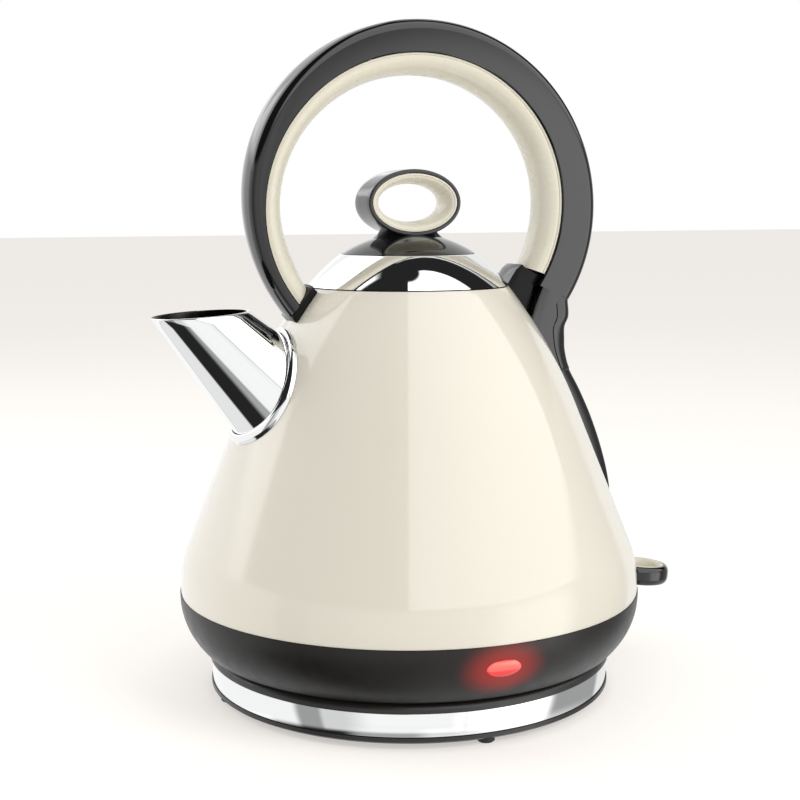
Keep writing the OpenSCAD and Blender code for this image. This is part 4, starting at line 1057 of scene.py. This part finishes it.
def add_lever():
    """Loop lever with its arm and boss, and the loop's lining."""
    half = LOOP_T / 2
    section = [(-LOOP_RIM, half - 0.3), (-LOOP_RIM + 0.3, half)]
    section += quarter(-2.0, half - 3.4, 2.0, 3.4, 90, 0, 8)
    section += quarter(-2.0, -half + 3.4, 2.0, 3.4, 0, -90, 8)
    section += [(-LOOP_RIM + 0.3, -half), (-LOOP_RIM, -half + 0.3)]
    obj = new_object("lever_loop", tilted(flat_loop(LOOP_A, LOOP_B, section)), 40)
    arm = rounded([(PIVOT.x - 2.5, PIVOT.y - 2.5), (BODY_R + 5.2, PIVOT.y - 2.5),
                   (BODY_R + 5.2, PIVOT.y + 2.5), (PIVOT.x - 2.5, PIVOT.y + 2.5)], 0.8)
    bar = new_object("arm", slab(arm, ARM_W, 0.8), 40)
    rim = [[(p.x, p.y, z) for p in ellipse(LOOP_A - LOOP_RIM, LOOP_B - LOOP_RIM, 96)] for z in (-20, 20)]
    combine(bar, tilted(sweep(rim)), "DIFFERENCE", 40)
    join(obj, bar)
    boss = sweep([[(PIVOT.x + BOSS_R * cos(q), y, PIVOT.y + BOSS_R * sin(q))
                   for q in (2 * pi * i / 48 for i in range(48))] for y in (-BOSS_W, BOSS_W)])
    join(obj, new_object("boss", boss, 40))
    finish_piece(obj, "switch", ["switch_lever"], [M["black_gloss"]])
    a, b = LOOP_A - LOOP_RIM - FIT, LOOP_B - LOOP_RIM - FIT
    w = LOOP_T / 2 + 0.1
    lining = [(0, -w + 0.2), (0, w - 0.2), (-0.2, w), (-0.8, w)]
    lining += [(-0.8 - (LOOP_LINING - 0.8) * sin(radians(q)), (w - 0.2) * cos(radians(q)))
               for q in range(15, 166, 15)]
    lining += [(-0.8, -w), (-0.2, -w)]
    obj = new_object("lever_lining", tilted(flat_loop(a, b, lining)), 40)
    finish_piece(obj, "switch", ["switch_lever_liner"], [M["cream_plastic"]])


# ---------------------------------------------------------------- carried-over nodes

FINISH = {
    "base_bottom": "black_satin", "base_feet": "rubber_black", "base_screws": "screw_steel",
    "base_connector": "black_satin", "base_contacts": "brass", "base_terminals": "brass",
    "cord_gland": "rubber_black", "kettle_connector": "dark_inner_plastic", "connector_pin": "brass",
    "connector_rings": "brass", "neck_collar": "dark_inner_plastic", "underside_cover": "dark_inner_plastic",
    "cover_screws": "screw_steel", "heater_plate": "stainless", "plate_seal": "silicone_grey",
    "diffuser_plate": "aluminium", "heating_element": "element_sheath", "element_terminals": "brass",
    "control_unit": "inner_plastic", "bimetal_discs": "screw_steel", "steam_tube": "inner_plastic",
    "steam_tube_grommet": "silicone_grey", "indicator_lamp": "lamp_glass",
    "lamp_holder": "dark_inner_plastic", "switch_housing": "dark_inner_plastic",
    "switch_pivot_pin": "screw_steel", "trip_pivot_pin": "screw_steel",
    "handle_brackets": "screw_steel", "handle_screws": "screw_steel", "filter_rails": "inner_plastic",
    "knob_screw": "screw_steel", "lid_plug": "dark_inner_plastic", "lid_seal": "silicone_grey",
    "lid_screws": "screw_steel", "filter_frame": "inner_plastic", "filter_mesh": "stainless",
    "trip_lever": "inner_plastic",
}


def paint_nodes():
    for node, finish in FINISH.items():
        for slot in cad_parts[node].material_slots:
            slot.material = M[finish]


# ---------------------------------------------------------------- stage and light

FLOOR_REACH = 9.2
LIGHT_AIM = Vector((0, 0, 0.12))

# Panels seen in reflections: degrees to the right of the camera, degrees above level, strength, softness
PANELS = [
    ((-180, 180), (-28, 14), 0.36, 2.0),
    ((-180, -66), (-28, 14), 0.66, 3.0),
    ((-50, 30), (-28, 12), 0.36, 2.0),
    ((-28, 30), (-28, 12), 0.33, 10.0),
    ((30, 84), (-28, 12), 0.95, 9.0),
    ((44, 84), (-28, 12), 1.1, 7.0),
    ((136, 180), (-28, 14), 0.5, 4.0),
    ((-180, -86), (-95, -28), 0.87, 4.0),
    ((-34, 8), (-95, -28), 0.4, 7.0),
    ((8, 180), (-95, -28), 0.95, 7.0),
    ((0, 108), (14, 82), 2.1, 1.5),
    ((-178, -92), (12, 70), 1.0, 3.0),
    ((-150, -92), (14, 66), 1.0, 4.0),
    ((150, 180), (14, 60), 0.9, 4.0),
]



def add_floor():
    """Pale paper under the kettle."""
    mesh = bpy.data.meshes.new("floor")
    corners = [(x * FLOOR_REACH, y * FLOOR_REACH, 0) for x, y in ((-1, -1), (1, -1), (1, 1), (-1, 1))]
    mesh.from_pydata(corners, [], [(0, 1, 2, 3)])
    floor = bpy.data.objects.new("floor", mesh)
    bpy.context.scene.collection.objects.link(floor)
    paper = (1.0, 0.965, 0.93, 1.0)
    finish = surface("floor_paper", tint(paper, 0.62), (0.8, 0.9), 0.002, 3.0, (300.0, 0.02),
                     {"Specular IOR Level": 0.0, "Emission Color": paper, "Emission Strength": 0.50})
    floor.data.materials.append(finish)
    floor.visible_glossy = False


def add_world():
    """White to the eye, even for soft light, and a studio of bright panels and dark gaps in reflections."""
    world = bpy.data.worlds.new("studio")
    bpy.context.scene.world = world
    world.use_nodes = True
    n = Nodes(world.node_tree)
    way = n.add("ShaderNodeTexCoord").outputs["Generated"]
    xyz = n.add("ShaderNodeSeparateXYZ", {0: way})
    x, y, z = xyz.outputs["X"], xyz.outputs["Y"], xyz.outputs["Z"]
    facing = atan2(CAMERA_AT[1], CAMERA_AT[0])
    ahead = n.maths("ADD", n.maths("MULTIPLY", x, cos(facing)), n.maths("MULTIPLY", y, sin(facing)))
    right = n.maths("ADD", n.maths("MULTIPLY", x, -sin(facing)), n.maths("MULTIPLY", y, cos(facing)))
    turn = n.maths("DEGREES", n.maths("ARCTAN2", right, ahead))
    rise = n.maths("DEGREES", n.maths("ARCSINE", z))

    def step(value, edge, soft):
        inputs = {"Value": value, "From Min": edge - soft, "From Max": edge + soft}
        return n.add("ShaderNodeMapRange", inputs, interpolation_type="SMOOTHSTEP").outputs[0]

    def between(value, low, high, soft=2.0):
        return n.maths("MULTIPLY", step(value, low, soft), n.maths("SUBTRACT", 1.0, step(value, high, soft)))

    def panel(turn_range, rise_range, strength, soft=2.0):
        inside = n.maths("MULTIPLY", between(turn, *turn_range, soft), between(rise, *rise_range, soft))
        return n.maths("MULTIPLY", inside, strength)

    total = 0.02
    for turn_range, rise_range, strength, soft in PANELS:
        total = n.maths("ADD", total, panel(turn_range, rise_range, strength, soft))
    soft_light = n.add("ShaderNodeMapRange", {"Value": z, "From Min": -1.0, "From Max": 1.0,
                                              "To Min": 0.42, "To Max": 0.60}).outputs[0]
    ray = n.add("ShaderNodeLightPath")
    shown = n.add("ShaderNodeMix", {"Factor": ray.outputs["Is Glossy Ray"], "A": soft_light, "B": total},
                  data_type="FLOAT").outputs["Result"]
    seen = n.add("ShaderNodeMix", {"Factor": ray.outputs["Is Camera Ray"], "A": shown, "B": 1.0},
                 data_type="FLOAT").outputs["Result"]
    back = n.add("ShaderNodeBackground", {"Color": (1.0, 1.0, 1.0, 1.0), "Strength": seen})
    n.add("ShaderNodeOutputWorld", {"Surface": back.outputs[0]})


def area_light(name, at, size, power, colour=(1, 1, 1)):
    data = bpy.data.lights.new(name, "AREA")
    data.shape = "RECTANGLE"
    data.size, data.size_y = size
    data.energy = power
    data.color = colour
    light = bpy.data.objects.new(name, data)
    light.location = at
    light.rotation_euler = (LIGHT_AIM - Vector(at)).to_track_quat("-Z", "Y").to_euler()
    light.visible_glossy = False
    bpy.context.scene.collection.objects.link(light)


def add_lights():
    area_light("key", (0.55, -0.85, 0.75), (0.7, 0.7), 6.4, (1.0, 0.99, 0.95))
    area_light("side", (-0.9, 0.55, 0.5), (0.7, 0.9), 4.4)
    area_light("top", (0.0, 0.1, 1.2), (1.2, 1.2), 3.0)


for add in (add_spout, add_spout_collar, add_body, add_skirt, add_lens, add_grip, add_lining, add_toe,
            add_rear_block, add_tail, add_dome, add_cap, add_knob, add_base, add_band, add_lever,
            paint_nodes, add_floor, add_world, add_lights):
    add()
bpy.context.scene.view_settings.view_transform = "Standard"
